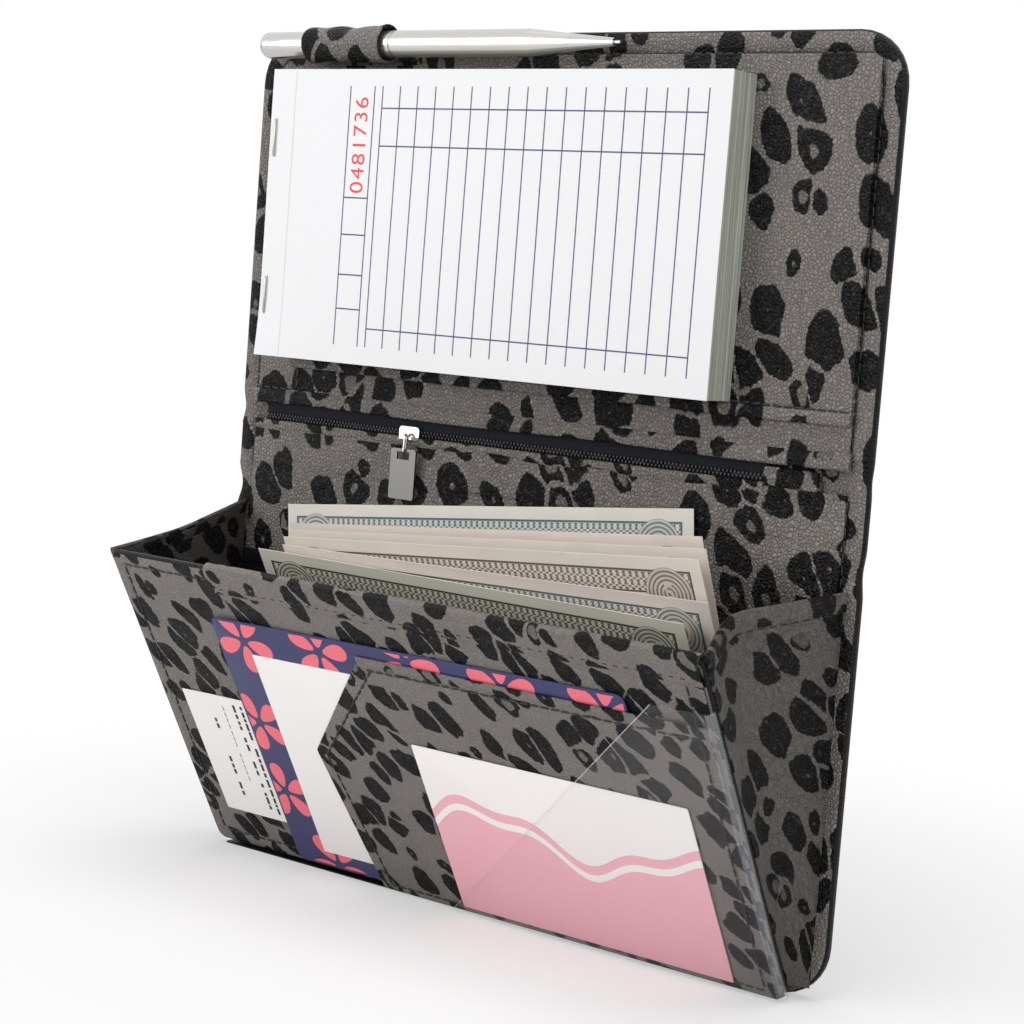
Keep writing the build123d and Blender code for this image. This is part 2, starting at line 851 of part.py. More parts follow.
with BuildPart() as zip_cover_hem:
    with BuildSketch(back_plane):
        band(-half_width, half_width, zip_hem_low, zip_hem_high)
    extrude(amount=zip_cover_hem_thickness)
zip_cover_hem.part.label = "zip_cover_hem"
export_step(zip_cover_hem.part, "parts/zip_cover_hem.step")

# Guest check pad: a card that slides behind the slot panel, pages and two staples
pad_card_depth = (slot_space - pad_card) / 2
pad_card_top = pad_card_depth + pad_card
pages_low_depth = slot_panel_face + pad_clearance
pages_top_depth = pages_low_depth + pad_thickness - top_sheet
staple_x = pad_left + staple_inset

with BuildPart() as pad_backing_card:
    with BuildSketch(back_plane.offset(pad_card_depth)):
        band(pad_left, pad_right, pad_low, pad_top)
    extrude(amount=pad_card)
pad_backing_card.part.label = "pad_backing_card"
export_step(pad_backing_card.part, "parts/pad_backing_card.step")


def staples(wire, leg):
    """Two staples: a crown over the top sheet and two legs down into the pages."""
    half = staple_length / 2
    for height in staple_heights:
        middle = pad_low + height
        with BuildSketch(back_plane.offset(pages_top_depth + top_sheet)) as crown:
            band(staple_x - wire / 2, staple_x + wire / 2, middle - half, middle + half)
        extrude(crown.sketch, amount=wire)
        with BuildSketch(back_plane.offset(pages_top_depth + top_sheet - leg)) as legs:
            for end in (-1, 1):
                with Locations((staple_x, middle + end * (half - staple_wire / 2))):
                    Rectangle(wire, wire)
        extrude(legs.sketch, amount=leg + wire / 2)


with BuildPart() as pad_staples:
    staples(staple_wire, staple_leg)
pad_staples.part.label = "pad_staples"
export_step(pad_staples.part, "parts/pad_staples.step")

with BuildPart() as staple_holes:
    staples(staple_wire + 2 * staple_clearance, staple_leg + staple_clearance)

with BuildPart() as pad_pages:
    with BuildSketch(back_plane.offset(pages_low_depth)):
        band(pad_left, pad_right, pad_low, pad_top)
    extrude(amount=pages_top_depth - pages_low_depth)
    with BuildSketch(back_plane.offset(pad_card_top)):
        band(pad_left, pad_left + pad_stub, pad_low, pad_top)
    extrude(amount=pages_low_depth - pad_card_top)
    add(staple_holes.part, mode=Mode.SUBTRACT)
pad_pages.part.label = "pad_pages"
export_step(pad_pages.part, "parts/pad_pages.step")

with BuildPart() as pad_top_sheet:
    with BuildSketch(back_plane.offset(pages_top_depth)):
        band(pad_left, pad_right, pad_low, pad_top)
    extrude(amount=top_sheet)
    add(staple_holes.part, mode=Mode.SUBTRACT)
pad_top_sheet.part.label = "pad_top_sheet"
export_step(pad_top_sheet.part, "parts/pad_top_sheet.step")

# Pen loop: a leather tube on the slot panel, with a sewn tail to its right
pen_depth = slot_panel_face + loop_radius
loop_plane = Plane(
    origin=on_back(loop_left, pen_height, pen_depth),
    x_dir=back_plane.y_dir,
    z_dir=(1, 0, 0),
)

with BuildPart() as pen_loop:
    with BuildSketch(loop_plane):
        Circle(loop_radius)
        Circle(loop_bore, mode=Mode.SUBTRACT)
    extrude(amount=loop_width)
    with BuildSketch(back_plane.offset(slot_space)):
        band(
            loop_left,
            loop_left + loop_width,
            slot_panel_top + fold_gap,
            pen_height + loop_bore / 2,
        )
    extrude(amount=slot_panel + loop_thickness / 2)
    with BuildSketch(back_plane):
        band(
            loop_left,
            loop_left + loop_width + loop_tail,
            slot_panel_top + fold_gap,
            slot_panel_top + fold_gap + loop_tail_height,
        )
    extrude(amount=slot_panel_face)
pen_loop.part.label = "pen_loop"
export_step(pen_loop.part, "parts/pen_loop.step")

# Pen: turned from a few profiles along one line
pen_plane = Plane(
    origin=on_back(0, pen_height, pen_depth), x_dir=(1, 0, 0), z_dir=back_plane.z_dir
)
pen_axis = Axis(pen_plane.origin, (1, 0, 0))
pen_cap_end = pen_left + pen_cap_length
pen_upper_end = pen_cap_end + pen_upper_length
pen_lower_end = pen_upper_end + pen_lower_length
pen_tip_end = pen_lower_end + pen_tip_length
pen_point_end = pen_tip_end + pen_point_length

with BuildPart() as pen_cap:
    with BuildSketch(pen_plane):
        with BuildLine():
            Line((pen_left, 0), (pen_left, pen_radius / 2))
            CenterArc((pen_left + pen_radius / 2, pen_radius / 2), pen_radius / 2, 90, 90)
            Polyline(
                (pen_left + pen_radius / 2, pen_radius),
                (pen_cap_end, pen_radius),
                (pen_cap_end, 0),
                (pen_left, 0),
            )
        make_face()
    revolve(axis=pen_axis)
pen_cap.part.label = "pen_cap"
export_step(pen_cap.part, "parts/pen_cap.step")

with BuildPart() as pen_upper_barrel:
    with BuildSketch(pen_plane):
        band(pen_cap_end, pen_upper_end - pen_groove_width, 0, pen_radius)
        band(pen_upper_end - pen_groove_width, pen_upper_end, 0, pen_radius - pen_ring_groove)
    revolve(axis=pen_axis)
pen_upper_barrel.part.label = "pen_upper_barrel"
export_step(pen_upper_barrel.part, "parts/pen_upper_barrel.step")

with BuildPart() as pen_lower_barrel:
    with BuildSketch(pen_plane):
        with BuildLine():
            Polyline(
                (pen_upper_end, 0),
                (pen_upper_end, pen_radius),
                (pen_lower_end - pen_tip_length, pen_radius),
            )
            Line((pen_lower_end - pen_tip_length, pen_radius), (pen_lower_end, pen_neck_radius))
            Polyline((pen_lower_end, pen_neck_radius), (pen_lower_end, 0), (pen_upper_end, 0))
        make_face()
    revolve(axis=pen_axis)
pen_lower_barrel.part.label = "pen_lower_barrel"
export_step(pen_lower_barrel.part, "parts/pen_lower_barrel.step")

with BuildPart() as pen_tip:
    with BuildSketch(pen_plane):
        with BuildLine():
            Polyline(
                (pen_lower_end, 0),
                (pen_lower_end, pen_neck_radius),
                (pen_tip_end, pen_mouth_radius),
                (pen_tip_end, pen_point_radius),
                (pen_point_end, pen_point_radius),
                (pen_point_end, 0),
                close=True,
            )
        make_face()
    revolve(axis=pen_axis)
pen_tip.part.label = "pen_tip"
export_step(pen_tip.part, "parts/pen_tip.step")

# Banknotes: they stand in the bill pocket on one line and fan out to the front
for number, (tilt, turn, middle, centre) in enumerate(
    zip(note_tilts, note_turns, note_middles, note_centres)
):
    note_depth = slip_depth + wall + note_gap + number * (note_thickness + note_gap)
    lean = radians(tilt)
    note_plane = Plane(
        origin=on_back(0, note_hinge_height, note_depth),
        x_dir=(1, 0, 0),
        z_dir=back_plane.z_dir * cos(lean) - back_plane.y_dir * sin(lean),
    )
    with BuildPart() as note:
        with BuildSketch(note_plane):
            with Locations((middle, centre)):
                RectangleRounded(note_width, note_height, note_corner, rotation=turn)
        extrude(amount=note_thickness)
    note.part.label = f"banknote_{number + 1}"
    export_step(note.part, f"parts/banknote_{number + 1}.step")
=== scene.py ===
import bpy
import math
import random
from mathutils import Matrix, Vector


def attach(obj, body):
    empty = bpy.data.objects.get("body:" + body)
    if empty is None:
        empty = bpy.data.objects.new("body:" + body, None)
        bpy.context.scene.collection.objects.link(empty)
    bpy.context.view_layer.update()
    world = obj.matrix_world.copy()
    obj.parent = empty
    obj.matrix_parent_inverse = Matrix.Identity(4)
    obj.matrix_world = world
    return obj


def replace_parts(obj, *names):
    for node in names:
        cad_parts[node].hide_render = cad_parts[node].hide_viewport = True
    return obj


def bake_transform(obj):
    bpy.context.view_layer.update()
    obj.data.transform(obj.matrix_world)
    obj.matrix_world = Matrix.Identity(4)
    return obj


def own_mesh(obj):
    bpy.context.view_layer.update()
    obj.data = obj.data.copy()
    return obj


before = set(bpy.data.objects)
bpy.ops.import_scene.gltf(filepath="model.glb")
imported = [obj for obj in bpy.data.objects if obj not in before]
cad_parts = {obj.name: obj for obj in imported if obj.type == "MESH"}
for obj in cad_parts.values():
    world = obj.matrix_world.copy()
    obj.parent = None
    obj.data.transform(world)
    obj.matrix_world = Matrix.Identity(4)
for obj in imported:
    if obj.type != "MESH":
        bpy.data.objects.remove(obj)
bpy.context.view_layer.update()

# Places, in millimetres. The back half leans back and the pocket's front leans forward.
LEAN = math.radians(2.6)
SPREAD = math.radians(27.4)
BACK_ORIGIN = (0.0, 3.0574, 0.1542)
FRONT_ORIGIN = (0.0, -0.0505, 2.2550)
HALF = 117.0
TOP = 260.5
BACK_TOP, SPINE_LOW, SPINE_TOP, COVER_LOW = 109.0, 124.0, 136.0, 147.0
CORNER = 15.0
STITCH_INSET = 6.3
POCKET_TOP = 111.2
UV_SCALE = 0.01
MM = 0.001
LEATHER_SLOT = "leopard_leather"
SEED = 7


def on_back(x, s, n):
    """A place on the back half: across, up its face and out of its face."""
    return Vector((
        x,
        BACK_ORIGIN[1] + s * math.sin(LEAN) - n * math.cos(LEAN),
        BACK_ORIGIN[2] + s * math.cos(LEAN) + n * math.sin(LEAN),
    )) * MM


def on_front(x, u, m):
    """A place on the pocket's front: across, up its face and out of its face."""
    return Vector((
        x,
        FRONT_ORIGIN[1] - u * math.sin(SPREAD) - m * math.cos(SPREAD),
        FRONT_ORIGIN[2] + u * math.cos(SPREAD) - m * math.sin(SPREAD),
    )) * MM


BACK_OUT = Vector((0, -math.cos(LEAN), math.sin(LEAN)))
FRONT_OUT = Vector((0, -math.cos(SPREAD), -math.sin(SPREAD)))


# Materials
class Shader:
    """A principled material with short names for the nodes that it is made of."""

    NAMES = {
        "color": "Base Color", "rough": "Roughness", "metal": "Metallic", "spec": "Specular IOR Level",
        "alpha": "Alpha",
    }

    def __init__(self, name):
        self.mat = bpy.data.materials.new(name)
        self.mat.use_nodes = True
        self.tree = self.mat.node_tree
        self.tree.nodes.clear()
        self.out = self.tree.nodes.new("ShaderNodeOutputMaterial")
        self.bsdf = self.tree.nodes.new("ShaderNodeBsdfPrincipled")
        self.tree.links.new(self.bsdf.outputs[0], self.out.inputs[0])
        self.uv = None

    def put(self, socket, value):
        if isinstance(value, bpy.types.NodeSocket):
            self.tree.links.new(value, socket)
            return
        if socket.type == "RGBA" and len(value) == 3:
            value = (*value, 1.0)
        socket.default_value = value

    def node(self, kind, inputs=None, **props):
        n = self.tree.nodes.new(kind)
        for k, v in props.items():
            setattr(n, k, v)
        for k, v in (inputs or {}).items():
            self.put(n.inputs[k], v)
        return n

    def math(self, op, a, b=0.0, clamp=False):
        return self.node("ShaderNodeMath", {0: a, 1: b}, operation=op, use_clamp=clamp).outputs[0]

    def add(self, a, b):
        return self.math("ADD", a, b)

    def sub(self, a, b):
        return self.math("SUBTRACT", a, b)

    def mul(self, a, b):
        return self.math("MULTIPLY", a, b)

    def vec(self, op, a, b=(0, 0, 0)):
        return self.node("ShaderNodeVectorMath", {0: a, 1: b}, operation=op).outputs[0]

    def length(self, a):
        return self.node("ShaderNodeVectorMath", {0: a}, operation="LENGTH").outputs["Value"]

    def scale(self, a, k):
        n = self.node("ShaderNodeVectorMath", {0: a}, operation="SCALE")
        self.put(n.inputs["Scale"], k)
        return n.outputs[0]

    def mix(self, fac, a, b):
        n = self.node("ShaderNodeMix", data_type="RGBA", blend_type="MIX")
        for place, value in ((0, fac), (6, a), (7, b)):
            self.put(n.inputs[place], value)
        return n.outputs[2]

    def tones(self, fac, color, low, high):
        """A colour that runs from low to high times itself."""
        return self.mix(fac, tuple(c * low for c in color), tuple(min(1.0, c * high) for c in color))

    def step(self, value, low, high, to_low=0.0, to_high=1.0, smooth=True):
        kind = "SMOOTHSTEP" if smooth else "LINEAR"
        inputs = {0: value, 1: low, 2: high, 3: to_low, 4: to_high}
        return self.node("ShaderNodeMapRange", inputs, interpolation_type=kind).outputs[0]

    def millimetres(self):
        if self.uv is None:
            uv = self.node("ShaderNodeUVMap", uv_map="UVMap")
            self.uv = self.scale(uv.outputs[0], 1 / UV_SCALE)
        return self.uv

    def noise(self, vector, scale, detail=2.0, out="Fac", rough=0.5):
        inputs = {"Vector": vector, "Scale": scale, "Detail": detail, "Roughness": rough}
        return self.node("ShaderNodeTexNoise", inputs).outputs[out]

    def voronoi(self, vector, scale, feature="F1", randomness=1.0):
        inputs = {"Vector": vector, "Scale": scale, "Randomness": randomness}
        return self.node("ShaderNodeTexVoronoi", inputs, voronoi_dimensions="2D", feature=feature).outputs

    def bands(self, vector, scale, direction):
        inputs = {"Vector": vector, "Scale": scale, "Distortion": 0.0, "Detail": 1.0}
        return self.node("ShaderNodeTexWave", inputs, bands_direction=direction).outputs["Fac"]

    def bump(self, height, strength, distance):
        n = self.node("ShaderNodeBump", {"Height": height, "Strength": strength, "Distance": distance})
        self.tree.links.new(n.outputs[0], self.bsdf.inputs["Normal"])

    def set(self, **values):
        for k, v in values.items():
            self.put(self.bsdf.inputs[self.NAMES[k]], v)


LEATHER_BASE = (0.265, 0.243, 0.225)
LEATHER_SPOT = (0.0022, 0.0022, 0.0026)
CRACK_DARK = (0.055, 0.048, 0.044)
# Painted highlight colour for the grain inside the dark spots.
PAINTED_GRAIN_HIGHLIGHT = (0.085, 0.085, 0.088)


def leather_spots(m, grainy, angle, stretch, size, offset):
    """How dark the print is: rounded spots of uneven size, some with a light heart."""
    inputs = {0: grainy, 1: (offset[0], offset[1], 0), 2: (0, 0, math.radians(angle))}
    turned = m.node("ShaderNodeMapping", inputs).outputs[0]
    cells = m.vec("MULTIPLY", turned, (1 / (size * stretch), 1 / size, 0.0))
    slow = m.vec("SUBTRACT", m.noise(cells, 0.6, 1.0, "Color"), (0.5, 0.5, 0.5))
    cells = m.vec("MULTIPLY", m.vec("ADD", cells, m.scale(slow, 0.9)), (1, 1, 0))
    blob = m.voronoi(cells, 1.0, randomness=0.75)
    border = m.voronoi(cells, 1.0, "DISTANCE_TO_EDGE", 0.75)["Distance"]
    chance = m.node("ShaderNodeSeparateColor", {0: blob["Color"]}).outputs
    reach = m.add(0.34, m.mul(chance[0], 0.14))
    reach = m.mul(reach, m.step(chance[1], 0.18, 0.2, 0.55, 1.0))
    ragged = m.mul(m.sub(m.noise(cells, 2.4, 2.0), 0.5), 0.26)
    inside = m.math("MINIMUM", m.sub(reach, blob["Distance"]), m.sub(border, 0.045))
    spots = m.step(m.add(inside, ragged), -0.012, 0.022)
    heart = m.sub(m.add(blob["Distance"], ragged), m.step(chance[2], 0.78, 0.95, 0.0, 0.19))
    return m.mul(spots, m.step(heart, -0.03, 0.02, 0.25, 1.0))


def leather(name, angle, stretch, size, offset, gloss, pebble, relief, crease, shade):
    """Printed leather: dark spots over a crackled grain with folds, plus painted highlights in the spots'
    grain and along the folds; shade scales the whole copy lighter or darker as painted light and shade. Sizes
    are in millimetres.
    """
    m = Shader(name)
    # Painted light and shade: each copy's base colour is scaled by shade for how light falls on its part.
    pale = tuple(c * shade for c in LEATHER_BASE)
    flat = m.vec("MULTIPLY", m.millimetres(), (1, 1, 0))
    wander = m.vec("SUBTRACT", m.noise(flat, 0.5, 2.0, "Color"), (0.5, 0.5, 0.5))
    pebbled = m.vec("MULTIPLY", m.vec("ADD", flat, m.scale(wander, 1.6)), (1, 1, 0))
    middle = m.voronoi(pebbled, 1 / pebble)["Position"]
    edge = m.voronoi(pebbled, 1 / pebble, "DISTANCE_TO_EDGE")["Distance"]
    grainy = m.vec("ADD", m.scale(flat, 0.72), m.scale(middle, 0.28))
    spots = leather_spots(m, grainy, angle, stretch, size, offset)
    patchy = m.noise(flat, 0.9, 3.0)
    base = m.tones(m.noise(flat, 0.06, 3.0), pale, 0.82, 1.18)
    base = m.mix(m.step(patchy, 0.42, 0.75, 0.0, 0.5 * relief), base, tuple(c * 1.75 for c in pale))
    base = m.mix(m.step(edge, 0.03, 0.17, 0.72 * relief, 0.0), base, CRACK_DARK)
    # Painted highlight: pebble tops inside the dark spots are coloured lighter grey, standing in for the
    # grain's sparkle.
    painted_glint = m.mul(m.step(edge, 0.10, 0.30), m.step(patchy, 0.52, 0.70, 0.0, 0.55 * relief))
    color = m.mix(spots, base, m.mix(painted_glint, LEATHER_SPOT, PAINTED_GRAIN_HIGHLIGHT))
    height = m.mul(m.step(edge, 0.0, 0.42), 0.8 * relief)
    height = m.add(height, m.mul(m.noise(flat, 3.2, 3.0), 0.4))
    height = m.add(height, m.mul(m.noise(flat, 0.11, 3.0), 2.0))
    bent = m.vec("MULTIPLY", m.vec("ADD", flat, m.scale(wander, 7.0)), (1, 0.6, 0))
    fold = m.step(m.voronoi(bent, 0.33, "DISTANCE_TO_EDGE")["Distance"], 0.0, 0.05, 1.0, 0.0)
    height = m.add(height, m.mul(fold, 0.7 * crease))
    # Painted highlight: the folds are coloured lighter, standing in for light caught along the creases.
    color = m.mix(m.mul(fold, 0.45 * crease), color, tuple(c * 1.2 for c in pale))
    m.set(
        color=color,
        rough=m.step(m.noise(flat, 0.12, 3.0), 0.3, 0.7, gloss - 0.07, gloss + 0.12),
        spec=m.step(spots, 0.0, 1.0, 0.22, 0.14, False),
    )
    m.bump(height, 1.0, 0.00042)
    return m.mat


# Copies of one leather, each scaled by its last argument as painted light and shade: darker on the cover, the
# pocket front and most of all the gussets, a little lighter on the wall.
COVER_LEATHER = leather("cover_leather", 72, 1.38, 12.0, (31, 12), 0.36, 1.15, 1.0, 0.35, 0.92)
WALL_LEATHER = leather("wall_leather", 58, 1.4, 11.2, (5, 40), 0.36, 1.15, 1.0, 0.6, 1.05)
FRONT_LEATHER = leather("front_leather", 50, 1.85, 7.7, (71, 8), 0.44, 0.85, 0.55, 0.3, 0.82)
POCKET_LEATHER = leather("pocket_leather", 47, 1.8, 7.7, (17, 90), 0.42, 0.85, 0.55, 0.3, 0.82)
SHADED_LEATHER = leather("left_gusset_leather", 62, 1.3, 10.6, (49, 15), 0.36, 1.0, 0.7, 1.0, 0.30)
GUSSET_LEATHER = leather("gusset_leather", 62, 1.3, 10.6, (9, 55), 0.36, 1.0, 0.7, 1.0, 0.55)


def edge_painted_shade():
    """The leather's sides, near-black and polished: painted shade on sides that turn away from the light,
    where the print's dark spots also run together.
    """
    m = Shader("edge_painted_shade")
    mm = m.millimetres()
    edge = m.voronoi(m.vec("MULTIPLY", mm, (1, 1, 0)), 1.0, "DISTANCE_TO_EDGE")["Distance"]
    m.set(color=m.tones(m.noise(mm, 0.2, 3.0), (0.004, 0.004, 0.005), 0.8, 1.2), rough=0.34, spec=0.18)
    m.bump(m.add(m.step(edge, 0.0, 0.2), m.mul(m.noise(mm, 0.08, 2.0), 3.0)), 0.5, 0.0002)
    return m.mat


def weave(name, color, pitch, rough, depth):
    m = Shader(name)
    mm = m.millimetres()
    rate = 0.314 / pitch
    cloth = m.mul(m.add(m.bands(mm, rate, "X"), m.bands(mm, rate, "Y")), 0.5)
    m.set(color=m.tones(cloth, color, 0.6, 1.4), rough=rough, spec=0.2)
    m.bump(cloth, depth, 0.00012)
    return m.mat


def drawn(name, color, rough, metal=0.0, streak=0.0):
    """Metal, thread or wire with fine streaks along its length."""
    m = Shader(name)
    grain = m.noise(m.vec("MULTIPLY", m.millimetres(), (0.4, 5.0, 1.0)), 1.0, 3.0)
    color = m.mix(grain, tuple(c * (1 - streak) for c in color), tuple(c * (1 + streak) for c in color))
    m.set(color=color, rough=m.step(grain, 0.2, 0.8, rough * 0.85, rough * 1.15), metal=metal)
    m.bump(grain, 0.08 if metal else 0.15, 0.00004)
    return m.mat


def paper(name, color, rough=0.75, mottle=0.04):
    m = Shader(name)
    fibre = m.noise(m.millimetres(), 0.6, 4.0)
    m.set(color=m.tones(fibre, color, 1 - mottle, 1 + mottle), rough=rough)
    m.bump(fibre, 0.12, 0.00008)
    return m.mat


EDGE_PAINTED_SHADE = edge_painted_shade()
LINING = weave("pocket_lining", (0.006, 0.006, 0.007), 0.7, 0.85, 0.5)
ZIP_TAPE = weave("zip_tape_weave", (0.0040, 0.0048, 0.0080), 0.55, 0.7, 0.9)
THREAD = drawn("black_thread", (0.006, 0.006, 0.007), 0.5, 0.0, 0.2)
COIL = drawn("zip_coil", (0.022, 0.022, 0.027), 0.25, 0.0, 0.1)
METAL = drawn("brushed_metal", (0.15, 0.147, 0.14), 0.34, 1.0, 0.25)
RING_METAL = drawn("ring_metal", (0.55, 0.54, 0.52), 0.20, 1.0, 0.08)
STAPLE = drawn("staple_wire", (0.42, 0.41, 0.38), 0.24, 1.0, 0.05)
PEN_METAL = drawn("pen_barrel", (0.62, 0.60, 0.57), 0.26, 1.0, 0.15)
PEN_CHROME = drawn("pen_chrome", (0.62, 0.62, 0.61), 0.14, 1.0, 0.05)
PAD_SHEET = paper("pad_sheet", (0.85, 0.85, 0.86), 0.55, 0.01)
PAD_CARD = paper("pad_card", (0.50, 0.42, 0.30))
RULE_INK = paper("rule_ink", (0.085, 0.09, 0.22), 0.7)
TEAR_LINE = paper("tear_line", (0.70, 0.68, 0.67), 0.7)
NUMBER_INK = paper("number_ink", (0.78, 0.10, 0.10), 0.7)
RECEIPT_INK = paper("receipt_ink", (0.03, 0.03, 0.035), 0.8)
RECEIPT = paper("receipt_paper", (0.88, 0.86, 0.83), 0.6, 0.02)
NOTE_NUMBER = paper("note_number", (0.72, 0.68, 0.58), 0.7)
WHITE_CARD = paper("white_card", (0.90, 0.88, 0.86), 0.6, 0.01)
MENU_NAVY = paper("menu_navy", (0.028, 0.030, 0.125), 0.42, 0.1)
MENU_PINK = paper("menu_pink", (0.86, 0.155, 0.205), 0.45, 0.12)


def page_edges():
    """Stacked sheets: thin lines that run along the edges of the pad's pages."""
    m = Shader("pad_page_edges")
    place = m.node("ShaderNodeTexCoord").outputs["Object"]
    toward = {0: place, 1: tuple(BACK_OUT)}
    out = m.node("ShaderNodeVectorMath", toward, operation="DOT_PRODUCT").outputs["Value"]
    depth = m.mul(out, 1 / MM)
    stripes = m.node("ShaderNodeCombineXYZ", {0: m.mul(depth, 2.6)}).outputs[0]
    along = m.vec("MULTIPLY", m.scale(place, 40.0), (0.0, 0.2, 0.2))
    lines = m.noise(m.vec("ADD", stripes, along), 1.6, 5.0, rough=0.8)
    tint = m.noise(m.vec("MULTIPLY", stripes, (0.35, 0, 0)), 1.0, 1.0)
    color = m.mix(m.step(lines, 0.35, 0.65), (0.16, 0.19, 0.16), (0.62, 0.66, 0.60))
    m.set(color=m.mix(m.step(tint, 0.52, 0.62), color, (0.62, 0.58, 0.45)), rough=0.7)
    m.bump(lines, 0.5, 0.0002)
    return m.mat


def clear_sheet(name, ripple, least):
    """Clear vinyl: what lies behind shows through, and the sheet mirrors more at a flat angle."""
    m = Shader(name)
    facing = m.node("ShaderNodeLayerWeight", {"Blend": 0.5}).outputs["Facing"]
    seen = m.add(m.mul(m.math("POWER", facing, 5.0), 0.7), least)
    m.set(color=(0.95, 0.97, 1.0), rough=0.07, metal=1.0, alpha=seen)
    m.bump(m.noise(m.millimetres(), 0.05, 2.0), ripple, 0.0012)
    return m.mat


def card_print():
    """Pink card with a soft white drift along one edge."""
    m = Shader("small_card_print")
    mm = m.millimetres()
    x, y = m.node("ShaderNodeSeparateXYZ", {0: mm}).outputs[:2]
    swell = m.mul(m.math("SINE", m.mul(x, 0.085)), 6.0)
    ripple = m.mul(m.math("SINE", m.mul(x, 0.21)), 2.2)
    past = m.sub(y, m.add(m.add(swell, ripple), 41.0))
    white = m.step(past, -0.15, 0.15)
    band = m.step(m.math("ABSOLUTE", m.sub(past, -4.5)), 1.1, 1.4, 1.0, 0.0)
    m.set(color=m.mix(m.math("MAXIMUM", white, band), (0.90, 0.47, 0.54), (0.93, 0.90, 0.89)), rough=0.5)
    m.bump(m.noise(mm, 0.4, 2.0), 0.06, 0.0001)
    return m.mat


PAGE_EDGES = page_edges()
CLEAR = clear_sheet("clear_vinyl", 0.12, 0.02)
CLEAR_ROLL = clear_sheet("clear_vinyl_roll", 0.2, 0.10)
CLEAR_EDGE = clear_sheet("clear_vinyl_edge", 0.1, 0.35)
CARD_PRINT = card_print()
NOTE_HALF_X, NOTE_HALF_Y = 78.0, 33.15
CARTOUCHE_X, CARTOUCHE_Y = 66.0, 22.5


def note_print(name, ink, tint, seed):
    """Banknote paper with fine line work: a laced frame, waved ground, round corners and an oval."""
    m = Shader(name)
    mm = m.millimetres()
    x, y = m.node("ShaderNodeSeparateXYZ", {0: mm}).outputs[:2]

    def band(value, low, high):
        return m.mul(m.step(value, low - 0.1, low), m.step(value, high, high + 0.1, 1.0, 0.0))

    def sine(value, rate, shift=0.0):
        return m.math("SINE", m.add(m.mul(value, rate), shift))

    from_side = m.sub(NOTE_HALF_X, m.math("ABSOLUTE", x))
    inner = m.math("MINIMUM", from_side, m.sub(NOTE_HALF_Y, m.math("ABSOLUTE", y)))
    sway = m.mul(sine(y, 1.3), 2.2)
    lace = m.math("ABSOLUTE", m.mul(sine(x, 1.45, sway), sine(x, 1.45, m.mul(sway, -1.0))))
    frame_ink = m.mul(band(inner, 4.0, 10.5), m.step(lace, 0.08, 0.6, 0.02, 0.85))
    lines = m.math("MAXIMUM", band(inner, 3.8, 4.3), band(inner, 10.2, 10.6))
    waves = sine(y, 6.0, m.mul(sine(x, 0.22), 3.0))
    ground = m.mul(m.step(inner, 11.2, 11.3), m.step(waves, 0.1, 0.6, 0.04, 0.34))
    far = m.length(m.vec("ADD", m.vec("ABSOLUTE", mm), (-CARTOUCHE_X, -CARTOUCHE_Y, 0.0)))
    rings = m.mul(m.step(far, 7.6, 7.8, 1.0, 0.0), m.step(sine(far, 5.0), -0.2, 0.4, 0.25, 0.85))
    middle = m.length(m.vec("MULTIPLY", mm, (1 / 15.0, 1 / 20.0, 0.0)))
    hatch = m.step(sine(m.add(x, y), 5.5), -0.4, 0.4, 0.3, 0.8)
    oval = m.math("MAXIMUM", m.mul(hatch, 0.8), band(middle, 0.9, 0.99))
    oval = m.mul(m.step(middle, 0.99, 1.0, 1.0, 0.0), oval)
    amount = m.math("MAXIMUM", m.math("MAXIMUM", frame_ink, lines), ground)
    outside = m.mul(m.step(far, 7.6, 7.8), m.step(middle, 0.99, 1.0))
    amount = m.math("ADD", m.mul(amount, outside), m.add(rings, oval), clamp=True)
    worn = m.noise(m.vec("ADD", mm, (seed * 31.0, 0, 0)), 0.08, 4.0)
    m.set(color=m.mix(m.mul(amount, 0.95), m.tones(worn, tint, 0.90, 1.05), ink), rough=0.72, spec=0.2)
    m.bump(m.noise(mm, 0.7, 4.0), 0.15, 0.0001)
    return m.mat


# Meshes
def mesh_object(name, verts, faces, uvs, material, body=None, slot=None, smooth=True, keep_sharp=35):
    data = bpy.data.meshes.new(name)
    data.from_pydata([tuple(v) for v in verts], [], faces)
    uv_map = data.uv_layers.new(name="UVMap")
    for loop in data.loops:
        u, v = uvs[loop.vertex_index]
        uv_map.data[loop.index].uv = (u * UV_SCALE, v * UV_SCALE)
    data.materials.append(material)
    obj = bpy.data.objects.new(name, data)
    bpy.context.scene.collection.objects.link(obj)
    data.validate()
    data.update()
    if smooth:
        data.shade_smooth()
        if keep_sharp:
            data.set_sharp_from_angle(angle=math.radians(keep_sharp))
    if body:
        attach(obj, body)
    return obj


def tube(rings, count, start=0, turned=False, caps=True):
    """The faces between rings of points that follow each other. turned is for points that run clockwise."""
    faces = []
    for k in range(rings - 1):
        low = start + k * count
        high = low + count
        for i in range(count):
            j = (i + 1) % count
            if turned:
                faces.append((low + i, high + i, high + j, low + j))
            else:
                faces.append((low + i, low + j, high + j, high + i))
    if caps:
        first = [start + i for i in range(count)]
        last = [start + (rings - 1) * count + i for i in range(count)]
        faces.append(tuple(first if turned else reversed(first)))
        faces.append(tuple(reversed(last) if turned else last))
    return faces


def spaced(low, high, count):
    return [low + (high - low) * k / (count - 1) for k in range(count)]


def box(left, right, low, high):
    """The corners of a rectangle, counter-clockwise."""
    return [(left, low), (right, low), (right, high), (left, high)]


